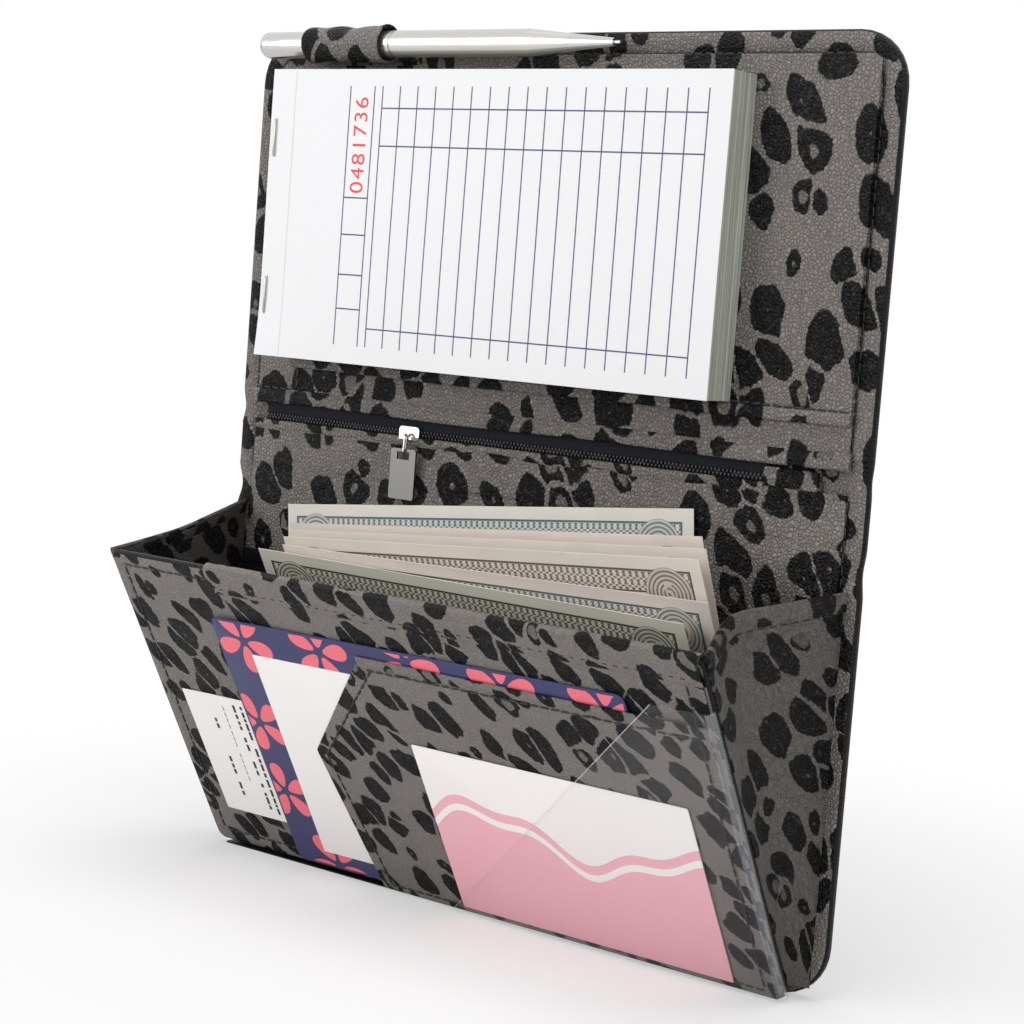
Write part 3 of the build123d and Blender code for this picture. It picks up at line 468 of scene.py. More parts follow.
def rounded_rect(left, right, low, high, corners, steps=8):
    """The points of a rectangle whose four corner radii run from lower right, counter-clockwise."""
    points = []
    centres = ((right, low, -90), (right, high, 0), (left, high, 90), (left, low, 180))
    signs = ((-1, 1), (-1, -1), (1, -1), (1, 1))
    for (cx, cy, start), (sx, sy), r in zip(centres, signs, corners):
        for k in range(steps + 1):
            a = math.radians(start + 90 * k / steps)
            points.append((cx + sx * r + r * math.cos(a), cy + sy * r + r * math.sin(a)))
    return points


def stack(name, at, loops, material, body, slot, uv_shift=(0, 0)):
    """A closed solid from loops of points, each loop at its own depth."""
    verts, uvs = [], []
    for points, depth in loops:
        for x, s in points:
            verts.append(at(x, s, depth))
            uvs.append((x + uv_shift[0], s + uv_shift[1]))
    return mesh_object(name, verts, tube(len(loops), len(loops[0][0])), uvs, material, body, slot)


def blacken(obj, faces):
    """Gives the faces the near-black side colour: painted shade on the leather's sides."""
    obj.data.materials.append(EDGE_PAINTED_SHADE)
    for i in faces:
        obj.data.polygons[i].material_index = 1


def rim_panel(name, at, half, low, high, corners, open_low, open_high, profile, material, body, band):
    """A covered panel: its rim is turned over and sewn, and its profile runs inward from the edge."""
    loops = []
    for inset, depth in profile:
        radii = [max(r - inset, 0.25) for r in corners]
        bottom = low if open_low else low + inset
        top = high if open_high else high - inset
        loops.append((rounded_rect(-half + inset, half - inset, bottom, top, radii), depth))
    panel = stack(name, at, loops, material, body, LEATHER_SLOT)
    count = len(loops[0][0])
    # Painted shade: the side faces of the rim in band are coloured near-black.
    blacken(panel, [k * count + i for k in band for i in range(count)])
    return panel


def corners_of(outline):
    count = len(outline)
    for i in range(count):
        yield Vector(outline[i - 1]), Vector(outline[i]), Vector(outline[(i + 1) % count])


def inset_outline(outline, amount):
    """Moves each edge of a convex outline inward, given counter-clockwise."""
    result = []
    for p, q, r in corners_of(outline):
        d1, d2 = (q - p).normalized(), (r - q).normalized()
        bisector = Vector((-d1.y, d1.x)) + Vector((-d2.y, d2.x))
        bisector = bisector / max(bisector.length_squared / 2, 0.2)
        result.append((q.x + bisector.x * amount, q.y + bisector.y * amount))
    return result


def round_corners(outline, radius, steps=4):
    """Rounds the corners of a convex outline, given counter-clockwise."""
    result = []
    for p, q, r in corners_of(outline):
        a = q + (p - q).normalized() * radius
        b = q + (r - q).normalized() * radius
        for k in range(steps + 1):
            t = k / steps
            point = a * (1 - t) ** 2 + q * (2 * t * (1 - t)) + b * t ** 2
            result.append((point.x, point.y))
    return result


def layer(name, at, outline, low, high, material, body, slot, edge=0.3, corner=0.8, uv_shift=(0, 0)):
    """A flat layer with soft edges."""
    shape = round_corners(outline, corner)
    loops = [(inset_outline(shape, edge * 0.6), low), (shape, low + edge * 0.7), (shape, high - edge)]
    for k in (1, 2, 3):
        a = math.pi / 2 * k / 3
        loops.append((inset_outline(shape, edge * (1 - math.cos(a))), high - edge + edge * math.sin(a)))
    return stack(name, at, loops, material, body, slot, uv_shift)


def sweep(name, place, section, material, body, slot, stations, uv_shift=0.0):
    """Sweeps a section along stations: place(t, a, b) gives the point, and section the (a, b) pairs."""
    girth = [0.0]
    for p, q in zip(section, section[1:]):
        girth.append(girth[-1] + math.dist(p, q))
    verts = [place(t, a, b) for t in stations for a, b in section]
    uvs = [(t, g + uv_shift) for t in stations for g in girth]
    faces = tube(len(stations), len(section), turned=True)
    return mesh_object(name, verts, faces, uvs, material, body, slot, keep_sharp=40)


def settle(obj):
    """Makes an object's modifiers part of its mesh."""
    bpy.context.view_layer.update()
    shape = bpy.data.meshes.new_from_object(obj.evaluated_get(bpy.context.evaluated_depsgraph_get()))
    obj.modifiers.clear()
    obj.data = shape


def sheet_grid(name, place, us, vs, thickness, material, body=None, slot=None, uv=lambda u, v: (u, v)):
    """A thick sheet over a grid of (u, v), placed by a function and thickened along its normals."""
    n = len(us)
    verts = [place(u, v) for v in vs for u in us]
    uvs = [uv(u, v) for v in vs for u in us]
    faces = [
        (j * n + i, j * n + i + 1, (j + 1) * n + i + 1, (j + 1) * n + i)
        for j in range(len(vs) - 1) for i in range(n - 1)
    ]
    obj = mesh_object(name, verts, faces, uvs, material, None, slot, keep_sharp=0)
    solid = obj.modifiers.new("thickness", "SOLIDIFY")
    solid.thickness = thickness * MM
    solid.offset = -1
    settle(obj)
    obj.data.shade_smooth()
    obj.data.set_sharp_from_angle(angle=math.radians(50))
    if body:
        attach(obj, body)
    return obj


rng = random.Random(SEED)
STITCH_PITCH, STITCH_LENGTH, STITCH_WIDTH = 3.5, 3.1, 0.8
STITCH_FORM = ((-0.5, 0.25), (-0.36, 0.9), (0.0, 1.0), (0.36, 0.9), (0.5, 0.25))
STITCH_SIDES = 6


def stitch_row(name, runs, body):
    """Thread stitches along runs of (point, direction, outward)."""
    verts, uvs, faces = [], [], []
    for centre, along, out in (stitch for run in runs for stitch in run):
        along = along.normalized()
        side = along.cross(out).normalized()
        along = (along + side * rng.uniform(-0.08, 0.08)).normalized()
        faces += tube(len(STITCH_FORM), STITCH_SIDES, len(verts), turned=True)
        for t, r in STITCH_FORM:
            for j in range(STITCH_SIDES):
                a = math.tau * j / STITCH_SIDES
                offset = side * (math.cos(a) * r * STITCH_WIDTH / 2) + out * (
                    math.sin(a) * r * STITCH_WIDTH * 0.36
                )
                verts.append(centre + (along * (t * STITCH_LENGTH) + offset) * MM)
                uvs.append((t * 3, j))
    return mesh_object(name, verts, faces, uvs, THREAD, body, LEATHER_SLOT, keep_sharp=0)


def run_along(at, out, points, depth):
    """Evenly spaced stitches along a line of (x, s) points on one of the two planes."""
    result = []
    for (x0, s0), (x1, s1) in zip(points, points[1:]):
        count = max(1, int(round(math.dist((x0, s0), (x1, s1)) / STITCH_PITCH)))
        direction = at(x1, s1, depth) - at(x0, s0, depth)
        for k in range(count):
            t = (k + 0.5) / count
            result.append((at(x0 + (x1 - x0) * t, s0 + (s1 - s0) * t, depth), direction, out))
    return result


def arc_points(cx, cy, r, start, end, steps=5):
    angles = [math.radians(start + (end - start) * k / steps) for k in range(steps + 1)]
    return [(cx + r * math.cos(a), cy + r * math.sin(a)) for a in angles]


# Covered panels of the back half and the cover
RIM = [
    (12.0, -3.25), (7.2, -3.25), (6.3, -3.0), (5.5, -3.3), (1.4, -3.4), (0.5, -3.15), (0.1, -2.6),
    (0.0, -2.0), (0.0, -1.1), (0.15, -0.6), (0.6, -0.2), (1.4, 0.05), (3.2, 0.15), (4.9, 0.0),
    (5.7, -0.35), (6.3, -0.6), (6.9, -0.4), (7.6, -0.12), (9.0, -0.05),
]
SPINE_RIM = [(i, d if d < -0.9 else d - 0.25) for i, d in RIM[:14]]
SPINE_RIM += [(5.7, -0.9), (6.3, -1.2), (6.9, -1.9), (7.4, -2.3), (9.0, -2.4)]
RIM_BAND = range(4, 10)
SQUARE = 0.25

back_cover = rim_panel(
    "back_cover_leather", on_back, HALF, 0.0, BACK_TOP, (CORNER, SQUARE, SQUARE, CORNER), False, True, RIM,
    COVER_LEATHER, "back", RIM_BAND,
)
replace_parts(back_cover, "back_outer_skin", "back_board", "back_lining")
front_cover = rim_panel(
    "front_cover_leather", on_back, HALF, COVER_LOW, TOP, (
        SQUARE, CORNER, CORNER, SQUARE,
    ), True, False, RIM,
    COVER_LEATHER, "cover", RIM_BAND,
)
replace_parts(front_cover, "cover_outer_skin", "cover_board", "cover_lining")
spine_cover = rim_panel(
    "spine_cover_leather", on_back, HALF, SPINE_LOW, SPINE_TOP, (SQUARE,) * 4, True, True, SPINE_RIM,
    COVER_LEATHER, "spine", RIM_BAND,
)
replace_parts(spine_cover, "spine_skin")

FOLD_INNER = [(0, -2.0), (0, -1.2), (0.15, -0.7), (0.6, -0.35), (1.4, -0.1), (3.2, 0.0), (4.9, -0.15),
              (5.7, -0.5),
              (6.3, -0.8), (7.4, -1.3)]
FOLD_OUTER = [(0.1, -2.6), (0.5, -3.15), (1.4, -3.4), (5.5, -3.3), (6.3, -3.0), (7.2, -3.25)]
FOLD_STATIONS = 21
FOLD_BLACK = (29, 30, 31, 0, 1, 2, 16, 17, 18, 19, 20, 21)


def fold_strip(name, low, high, bend, middle_low, middle_high, wobble):
    """The strip of the cover from low to high, where the cover folds, drawn in the back's plane; its sides
    sink a little and it draws inward toward its middle. The heights in bend are not used.
    """
    inner = [(HALF - i, n) for i, n in FOLD_INNER]
    outer = [(HALF - i, n) for i, n in FOLD_OUTER]
    section = inner + [(-x, n) for x, n in reversed(inner)] + [(-x, n) for x, n in outer] + outer[::-1]
    verts, uvs = [], []
    for t in spaced(low, high, FOLD_STATIONS):
        share = (t - low) / (high - low)
        for x, n in section:
            if n > -1.31 and abs(x) > HALF - 7.3:
                n -= 0.25 * math.sin(math.pi * share)
            if abs(abs(x) - (HALF - FOLD_INNER[-1][0])) < 0.01:
                n += middle_low * (1 - share) + middle_high * share
            inward = wobble * math.sin(math.pi * share) ** 2 * (1 if x < 0 else 0.4)
            verts.append(on_back(x * (1 - inward / HALF), t, n))
            uvs.append((x, t))
    count = len(section)
    obj = mesh_object(
        name, verts, tube(FOLD_STATIONS, count), uvs, COVER_LEATHER, None, LEATHER_SLOT, keep_sharp=40
    )
    # Painted shade: the fold strip's side faces are coloured near-black.
    blacken(obj, [i * count + k for i in range(FOLD_STATIONS - 1) for k in FOLD_BLACK])
    on_back(0, bend[0], -1)
    on_back(0, bend[1], -1)
    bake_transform(obj)


fold_strip("lower_fold_leather", BACK_TOP, SPINE_LOW, (112.5, 121.5), 0.0, -1.0, 1.6)
fold_strip("upper_fold_leather", SPINE_TOP, COVER_LOW, (138.5, 145.5), -1.0, 0.0, 0.8)

# Pocket wall behind the notes, up to the zipper
WALL_HALF = 110.4
WALL_LINES = spaced(-WALL_HALF, WALL_HALF, 60)
WALL_THICK = 0.6


def wall_place(x, s):
    """The wall is a little slack and sinks toward the zipper."""
    rise = 0.62 if s < 108 else 0.62 - 1.0 * min(1.0, (s - 108) / 14.0) ** 1.5
    wave = 0.55 * math.sin(x * 0.045 + s * 0.11) * math.sin(s * 0.09 + 1.0) + 0.35 * math.sin(
        x * 0.13 - s * 0.2
    )
    beside = min(1.0, (WALL_HALF - abs(x)) / 12.0)
    calm = beside * min(1.0, max(0.0, (137.5 - s) / 8.0)) * min(1.0, max(0.0, (s - 88.0) / 14.0))
    return on_back(x, s, rise + wave * calm)


def wall_part(name, heights, body=None):
    return sheet_grid(name, wall_place, WALL_LINES, heights, WALL_THICK, WALL_LEATHER, body, LEATHER_SLOT)


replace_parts(wall_part("pocket_wall_lower", spaced(5.0, 108.0, 30), "back"), "zip_pocket_wall")
wall_fold = wall_part("pocket_wall_fold", spaced(108.0, 127.0, 16))
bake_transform(wall_fold)
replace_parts(wall_part("pocket_wall_upper", spaced(127.0, 137.3, 9), "spine"), "spine_wall")


def roll_section(radius, reach, thickness):
    """A folded edge: a round nose and a flat tail, as (along the face, out of the face)."""
    points = [
        (reach, 0.0), (reach, thickness * 0.55), (reach - 0.35, thickness * 0.8), (reach * 0.55, thickness),
    ]
    for k in range(7):
        a = math.pi / 2 + math.pi * k / 6
        points.append((radius + radius * math.cos(a), radius + radius * math.sin(a)))
    return points


sweep(
    "pocket_wall_folded_edge",
    lambda t, a, b: on_back(t, 138.3 - a, -0.95 + b + 0.12 * math.sin(t * 0.17)),
    roll_section(0.45, 3.2, 0.75), WALL_LEATHER, "spine", LEATHER_SLOT, spaced(-WALL_HALF, 84.0, 60), 130.0,
)
slip = sheet_grid(
    "slip_pocket_leather", lambda x, s: on_back(x, s, 1.2), spaced(-110.0, 110.0, 20), spaced(
        6.0, 93.0, 12,
    ), 0.5,
    LINING, "back", LEATHER_SLOT,
)
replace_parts(slip, "inner_slip_pocket")
binding = sweep(
    "slip_pocket_ribbed_binding", lambda t, a, b: on_back(t, 91.0 + a, 0.72 + b),
    [(0, 0), (0, 0.45), (0.4, 0.6), (2.5, 0.62), (4.6, 0.6), (5.0, 0.4), (5.0, 0.0)], ZIP_TAPE, "back",
    LEATHER_SLOT, spaced(-110.3, 110.3, 30),
)
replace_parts(binding, "slip_pocket_binding")
# Painted shade: the pocket's floor strip takes the near-black side colour.
foot = layer(
    "pocket_floor_leather", lambda x, s, n: Vector((x, s, n)) * MM, box(-106, 106, -2.0, 2.4), 0.02, 0.5,
    EDGE_PAINTED_SHADE, "back", LEATHER_SLOT, 0.15, 0.5,
)
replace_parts(foot, "pocket_floor_strip")

# Zipper
ZIP_LEFT, ZIP_RIGHT, ZIP_MIDDLE = -106.0, 84.5, 139.5
TOOTH_COUNT, TOOTH_PITCH, TOOTH_CENTRE = 146, 1.3, -11.0
TOOTH_FORM = ((-0.62, 0.3), (-0.4, 0.85), (0.0, 1.0), (0.4, 0.85), (0.62, 0.3))

tape_upper = sheet_grid(
    "zip_tape_upper_cloth", lambda x, s: on_back(x, s, -1.0 + max(0.0, s - 142.3) * 0.12),
    spaced(ZIP_LEFT, ZIP_RIGHT, 40), spaced(139.95, 145.6, 8), 0.5, ZIP_TAPE, slot="zip_tape",
)
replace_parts(tape_upper, "zip_tape_upper")
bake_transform(tape_upper)
tape_lower = layer(
    "zip_tape_lower_cloth", on_back, box(
        ZIP_LEFT, ZIP_RIGHT, 133.2, 139.05,
    ), -1.62, -1.02, ZIP_TAPE, "spine",
    "zip_tape", 0.1, 0.3,
)
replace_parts(tape_lower, "zip_tape_lower")


def coil(name, side):
    """One row of teeth: rounded bars across the slit, a quarter pitch off the other row."""
    verts, uvs, faces = [], [], []
    for k in range(TOOTH_COUNT):
        x = TOOTH_CENTRE + (k - (TOOTH_COUNT - 1) / 2 + (0.25 if side > 0 else -0.25)) * TOOTH_PITCH
        faces += tube(len(TOOTH_FORM), 6, len(verts))
        for t, r in TOOTH_FORM:
            for i in range(6):
                a = math.tau * i / 6
                place = (
                    x + 0.36 * r * math.cos(a), ZIP_MIDDLE + side * 0.5 + t, -0.62 + 0.34 * r * math.sin(a),
                )
                verts.append(on_back(*place))
                uvs.append((x, t))
    return mesh_object(name, verts, faces, uvs, COIL, "spine", "zip_teeth", keep_sharp=0)


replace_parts(coil("zip_coil_lower", -1), "zip_teeth_lower")
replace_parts(coil("zip_coil_upper", 1), "zip_teeth_upper")
end_tab = layer(
    "zip_end_leather", on_back, [(84.0, 137.6), (101.5, 137.2), (101.5, 142.6), (84.0, 142.8)], -1.0, 0.1,
    WALL_LEATHER, "spine", LEATHER_SLOT, 0.4, 1.2, (40, 3),
)
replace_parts(end_tab, "zip_end_tab")


# Hems and leather panels of the cover
def cover_hem(name, left, right, low, height, base, thickness):
    """A folded hem: its lower edge is round and thick, and its upper part is sewn down."""
    return sweep(
        name, lambda t, a, b: on_back(t, low + a + 0.25 * math.sin(t * 0.06), base + b),
        roll_section(thickness * 0.5, height, thickness), COVER_LEATHER, "cover", LEATHER_SLOT,
        spaced(left, right, 90), low,
    )


def cover_layer(name, outline, low, high, edge, corner, uv_shift=(0, 0)):
    return layer(
        name, on_back, outline, low, high, COVER_LEATHER, "cover", LEATHER_SLOT, edge, corner, uv_shift,
    )


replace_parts(cover_hem("zip_cover_folded_hem", -111.6, 111.2, 143.75, 4.6, -0.1, 1.35), "zip_cover_hem")
lower_band = cover_layer("cover_lower_leather", box(-94.0, 110.6, 147.5, 156.0), -0.05, 0.62, 0.3, 0.5)
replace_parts(lower_band, "cover_lower_band")
slot_panel = cover_layer("pad_slot_leather", box(-94.0, 110.4, 156.6, 253.9), 0.72, 1.3, 0.3, 0.8)
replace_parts(slot_panel, "pad_slot_panel")
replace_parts(cover_hem("pad_slot_folded_hem", -94.2, 110.6, 155.6, 3.6, 0.65, 1.45), "slot_panel_hem")

# Pen loop: a strap over the pen, with its tail sewn down to the right
PEN_S, PEN_N = 256.6, 6.6
LOOP_LEFT, LOOP_RIGHT = -90.0, -58.0
LOOP_INNER, LOOP_OUTER, LOOP_FLARE = 4.4, 5.3, 0.9
LOOP_RING = 32


def pen_loop_strap():
    """A wrinkled strap whose right end stands open."""
    edge_zone = 0.7
    stations = [LOOP_LEFT, LOOP_LEFT + 0.25] + spaced(LOOP_LEFT + edge_zone, LOOP_RIGHT - edge_zone, 26)
    stations += [LOOP_RIGHT - 0.25, LOOP_RIGHT]
    verts, uvs = [], []
    for radius, pinch in ((LOOP_OUTER, -0.30), (LOOP_INNER, 0.25)):
        for t in stations:
            from_edge = min(t - LOOP_LEFT, LOOP_RIGHT - t)
            opened = LOOP_FLARE * max(0.0, 1 - (LOOP_RIGHT - t) / 9.0) ** 2
            base = radius + pinch * max(0.0, 1 - from_edge / edge_zone) ** 2 + opened
            for k in range(LOOP_RING):
                a = math.tau * k / LOOP_RING
                ripple = 0.22 * math.sin(t * 0.55) + 0.15 * math.sin(a * 3 + t * 0.3)
                r = base + (ripple if base > 4.8 else ripple * 0.3)
                verts.append(on_back(t, PEN_S + r * math.cos(a), PEN_N + r * math.sin(a)))
                uvs.append((t, 250 + a * 5.2))
    base = len(stations) * LOOP_RING
    last = base - LOOP_RING
    faces = tube(len(stations), LOOP_RING, turned=True, caps=False)
    faces += tube(len(stations), LOOP_RING, base, caps=False)
    for k in range(LOOP_RING):
        j = (k + 1) % LOOP_RING
        faces.append((k, j, base + j, base + k))
        faces.append((last + k, base + last + k, base + last + j, last + j))
    return mesh_object(
        "pen_loop_strap", verts, faces, uvs, COVER_LEATHER, "cover", LEATHER_SLOT, keep_sharp=0,
    )


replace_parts(pen_loop_strap(), "pen_loop")
TAIL = [(-93.4, 250.8), (-48.6, 250.8), (-49.6, 258.6), (-93.4, 258.9)]
cover_layer("pen_loop_tail", TAIL, -0.05, 1.5, 0.5, 1.5, (25, 60))

# Guest check pad
PAD_LEFT, PAD_RIGHT, PAD_LOW, PAD_HIGH = -99.3, 72.15, 159.3, 248.2
PAD_FACE = 12.8
PAD_OUTLINE = box(PAD_LEFT, PAD_RIGHT, PAD_LOW, PAD_HIGH)
PAD_BODY, PAD_SLOT = "guest_check_pad", "pad_paper"


def pad_curl(x, s):
    """The top sheets lift a little along the free edges."""
    right = max(0.0, (x - 40.0) / 32.0) ** 2 * 0.25
    corner = max(0.0, 1 - math.dist((x, s), (PAD_LEFT, PAD_LOW)) / 22.0) ** 2 * 1.1
    return right + corner + 0.12 * math.sin(x * 0.05) * math.sin(s * 0.06)


def pad_face(x, s):
    return PAD_FACE + pad_curl(x, s)


def pad_block():
    """The pages: their edges wander a little from layer to layer."""
    border = [
        (x0 + (x1 - x0) * k / 24, s0 + (s1 - s0) * k / 24)
        for (x0, s0), (x1, s1) in zip(PAD_OUTLINE, PAD_OUTLINE[1:] + PAD_OUTLINE[:1]) for k in range(24)
    ]
    depths = [1.42, 2.4, 3.6, 4.8, 6.0, 7.2, 8.4, 9.6, 10.8, 11.8, 12.55]
    shifts = [(rng.uniform(-0.18, 0.18), rng.uniform(-0.15, 0.15)) for _ in depths]
    verts = []
    for d, (dx, ds) in zip(depths, shifts):
        share = (d - 1.4) / 11.2
        for x, s in border:
            verts.append(on_back(x + dx * 0.8, s + ds * 0.8, d + (pad_curl(x, s) - 0.1) * share))
    faces = tube(len(depths), len(border))
    return mesh_object(
        "pad_page_stack", verts, faces, border * len(depths), PAGE_EDGES, PAD_BODY, PAD_SLOT, keep_sharp=30
    )


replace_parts(pad_block(), "pad_pages")
layer(
    "pad_stub_card", on_back, box(
        PAD_LEFT, -95.1, PAD_LOW, PAD_HIGH,
    ), 0.4, 1.6, PAD_SHEET, PAD_BODY, PAD_SLOT,
    0.1, 0.3,
)
card = layer("pad_backing_board", on_back, PAD_OUTLINE, 0.22, 0.7, PAD_CARD, PAD_BODY, "pad_card", 0.1, 0.4)
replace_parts(card, "pad_backing_card")
top_sheet = sheet_grid(
    "pad_top_leaf", lambda x, s: on_back(x, s, pad_face(x, s)), spaced(PAD_LEFT - 0.2, PAD_RIGHT + 0.1, 50),
    spaced(PAD_LOW - 0.1, PAD_HIGH + 0.2, 30), 0.25, PAD_SHEET, PAD_BODY, PAD_SLOT,
)
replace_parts(top_sheet, "pad_top_sheet")


def printed(name, places, faces, material, body, slot, at, face, lift):
    """A flat print whose points follow a face."""
    verts = [at(x, s, face(x, s) + lift) for x, s in places]
    return mesh_object(name, verts, faces, places, material, body, slot, smooth=False)


def ink_strips(name, strips, material, body, slot, at, face, lift):
    """Thin printed lines, as narrow strips."""
    places, faces = [], []
    for x0, s0, x1, s1, width in strips:
        length = math.dist((x0, s0), (x1, s1))
        steps = max(2, int(length / 4))
        dx, ds = (x1 - x0) / length, (s1 - s0) / length
        base = len(places)
        for k in range(steps + 1):
            t = k / steps
            x, s = x0 + (x1 - x0) * t, s0 + (s1 - s0) * t
            for side in (-1, 1):
                places.append((x - ds * side * width / 2, s + dx * side * width / 2))
        for i in range(base, base + 2 * steps, 2):
            faces.append((i, i + 2, i + 3, i + 1))
    return printed(name, places, faces, material, body, slot, at, face, lift)


def digits(name, text, x, s, size, turn, material, body, slot, at, face):
    """Plain printed numbers."""
    curve = bpy.data.curves.new(name, "FONT")
    curve.body = text
    curve.size = size
    curve.space_character = 1.12
    curve.align_x = "CENTER"
    curve.align_y = "CENTER"
    temp = bpy.data.objects.new(name, curve)
    bpy.context.scene.collection.objects.link(temp)
    bpy.context.view_layer.update()
    shape = bpy.data.meshes.new_from_object(temp.evaluated_get(bpy.context.evaluated_depsgraph_get()))
    bpy.data.objects.remove(temp)
    c, sn = math.cos(math.radians(turn)), math.sin(math.radians(turn))
    places = [(x + (v.co.x * c - v.co.y * sn), s + v.co.x * sn + v.co.y * c) for v in shape.vertices]
    faces = [tuple(p.vertices) for p in shape.polygons]
    return printed(name, places, faces, material, body, slot, at, face, INK_LIFT)


INK_LIFT = 0.03
COLUMN_X, COLUMN_PITCH, COLUMN_COUNT = -53.6, 6.97, 18
RULED_LOW, RULED_HIGH, RULE_WIDTH = 164.7, 243.3, 0.42
HEADER_X, HEADER_RIGHT, NUMBER_X, NUMBER_S = -66.6, -56.8, -61.4, 225.5
RULED_RIGHT = COLUMN_X + COLUMN_PITCH * (COLUMN_COUNT - 1)
TEAR_X = -89.6

columns = [COLUMN_X + COLUMN_PITCH * k for k in range(COLUMN_COUNT)]
rules = [(x, RULED_LOW, x, RULED_HIGH, RULE_WIDTH) for x in columns]
rules += [(COLUMN_X, s, RULED_RIGHT, s, RULE_WIDTH) for s in (170.3, 225.4, 236.7)]
rules += [(x, RULED_LOW, x, RULED_HIGH, RULE_WIDTH) for x in (HEADER_X, HEADER_RIGHT)]
rules += [(HEADER_X, s, HEADER_RIGHT, s, RULE_WIDTH) for s in (175.8, 186.2, 198.4, 209.6)]
tear = [(TEAR_X, PAD_LOW + 0.3, TEAR_X, PAD_HIGH - 0.3, 0.35)]
ink_strips("pad_tear_line", tear, TEAR_LINE, PAD_BODY, PAD_SLOT, on_back, pad_face, 0.02)
ink_strips("pad_ruling", rules, RULE_INK, PAD_BODY, PAD_SLOT, on_back, pad_face, INK_LIFT)
digits(
    "pad_serial_number", "0481736", NUMBER_X, NUMBER_S, 7.6, 90, NUMBER_INK, PAD_BODY, PAD_SLOT, on_back,
    pad_face,
)

STAPLE_X = -97.1
STAPLE_PATH = [
    (-5.7, -3.2), (-5.9, -0.2), (-5.6, 0.35), (-5.0, 0.55), (0, 0.5), (5.0, 0.55), (5.6, 0.35), (5.9, -0.2),
    (5.7, -3.2),
]


def staple(name, middle):
    """A bent wire with its crown on the top sheet."""
    verts, uvs = [], []
    for i, (t, h) in enumerate(STAPLE_PATH):
        before, after = STAPLE_PATH[max(0, i - 1)], STAPLE_PATH[min(len(STAPLE_PATH) - 1, i + 1)]
        dx, dy = after[0] - before[0], after[1] - before[1]
        length = math.hypot(dx, dy)
        nx, ny = -dy / length, dx / length
        for k in range(8):
            a = math.tau * k / 8
            out, side = 0.3 * math.cos(a), 0.36 * math.sin(a)
            depth = PAD_FACE + pad_curl(-97, middle) + h + ny * out
            verts.append(on_back(STAPLE_X + side, middle + t + nx * out, depth))
            uvs.append((t, k))
    faces = tube(len(STAPLE_PATH), 8)
    return mesh_object(name, verts, faces, uvs, STAPLE, PAD_BODY, "staple_steel", keep_sharp=0)


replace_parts(staple("pad_staple_low", 178.3), "pad_staples")
staple("pad_staple_high", 227.3)

# Pen, slider and pull keep their solids and get materials
METAL_SOLIDS = {
    "pen_cap": PEN_CHROME, "pen_upper_barrel": PEN_METAL, "pen_lower_barrel": PEN_METAL, "pen_tip": PEN_CHROME,
    "zip_slider": RING_METAL, "pull_ring": RING_METAL, "pull_tab": METAL,
}
for node, material in METAL_SOLIDS.items():
    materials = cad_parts[node].data.materials
    materials.clear()
    materials.append(material)

# Pocket front
FRONT_RIM = [
    (8.0, 0.25), (4.6, 0.25), (3.8, 0.35), (3.0, 0.1), (0.8, 0.1), (0.25, 0.35), (0.0, 0.9), (0.0, 1.3),
    (0.2, 1.8), (0.7, 2.0), (2.0, 2.08), (3.4, 2.05), (4.1, 1.82), (4.7, 1.72), (5.3, 1.85), (6.0, 2.0),
    (8.0, 2.0),
]
FRONT_BAND = range(4, 9)
RIM_ROLL = [
    (103.0, 2.6), (103.1, 2.95), (103.7, 3.05), (106.5, 3.08), (109.6, 3.05), (111.2, 2.85), (111.95, 2.2),
    (112.1, 1.2), (111.9, 0.2), (111.0, -0.45), (109.0, -0.6), (105.0, -0.45), (105.0, 0.02), (110.8, 0.0),
    (111.3, 1.2), (110.9, 2.2), (109.0, 2.8), (103.0, 2.75),
]
POCKET_BODY = "pocket_front"
SLOPE = math.tan(math.radians(22.0))
REAR_X = -67.0

front_panel = rim_panel(
    "pocket_front_leather", on_front, 109.0, 0.0, POCKET_TOP, (3,) * 4, False, False, FRONT_RIM, FRONT_LEATHER,
    POCKET_BODY, FRONT_BAND,
)
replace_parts(front_panel, "front_panel_skin", "front_panel_board")
front_lining = layer(
    "pocket_front_lining", on_front, box(-107.0, 107.0, 1.0, 109.5), 0.0, 0.35, LINING, POCKET_BODY,
    "dark_lining", 0.1, 1.0,
)
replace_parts(front_lining, "front_lining_cloth")
rear = layer(
    "rear_card_pocket_leather", on_front, [
        (REAR_X + 110 * SLOPE, 0.3), (107.6, 0.3), (107.6, 110.6), (REAR_X, 110.6),
    ],
    2.3, 2.68, POCKET_LEATHER, POCKET_BODY, LEATHER_SLOT, 0.3, 0.6,
)
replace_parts(rear, "rear_card_pocket")
rim_roll = sweep(
    "pocket_rim_roll", lambda t, a, b: on_front(
        t, a + 0.12 * math.sin(t * 0.09), b,
    ), RIM_ROLL, POCKET_LEATHER,
    POCKET_BODY, LEATHER_SLOT, spaced(-67.6, 108.0, 70), 100.0,
)
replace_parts(rim_roll, "front_rim_hem")
front_pocket = layer(
    "front_card_pocket_leather", on_front, [
        (-35.0, 0.2), (107.4, 0.2), (107.4, 90.4), (-12.7, 90.4), (-44.0, 51.0),
    ],
    3.57, 3.95, POCKET_LEATHER, POCKET_BODY, LEATHER_SLOT, 0.35, 0.9, (45, 70),
)
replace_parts(front_pocket, "front_card_pocket")
sweep(
    "front_card_pocket_hem", lambda t, a, b: on_front(t, 90.8 - a, 3.58 + b), roll_section(0.32, 3.6, 0.66),
    POCKET_LEATHER, POCKET_BODY, LEATHER_SLOT, spaced(-13.6, 107.6, 60), 70.0,
)

# Receipt
RECEIPT_BODY = "receipt_paper"
MARK_ROWS = (-88.0, -82.6, -77.5, -74.3, -71.1, -67.9, -64.7)


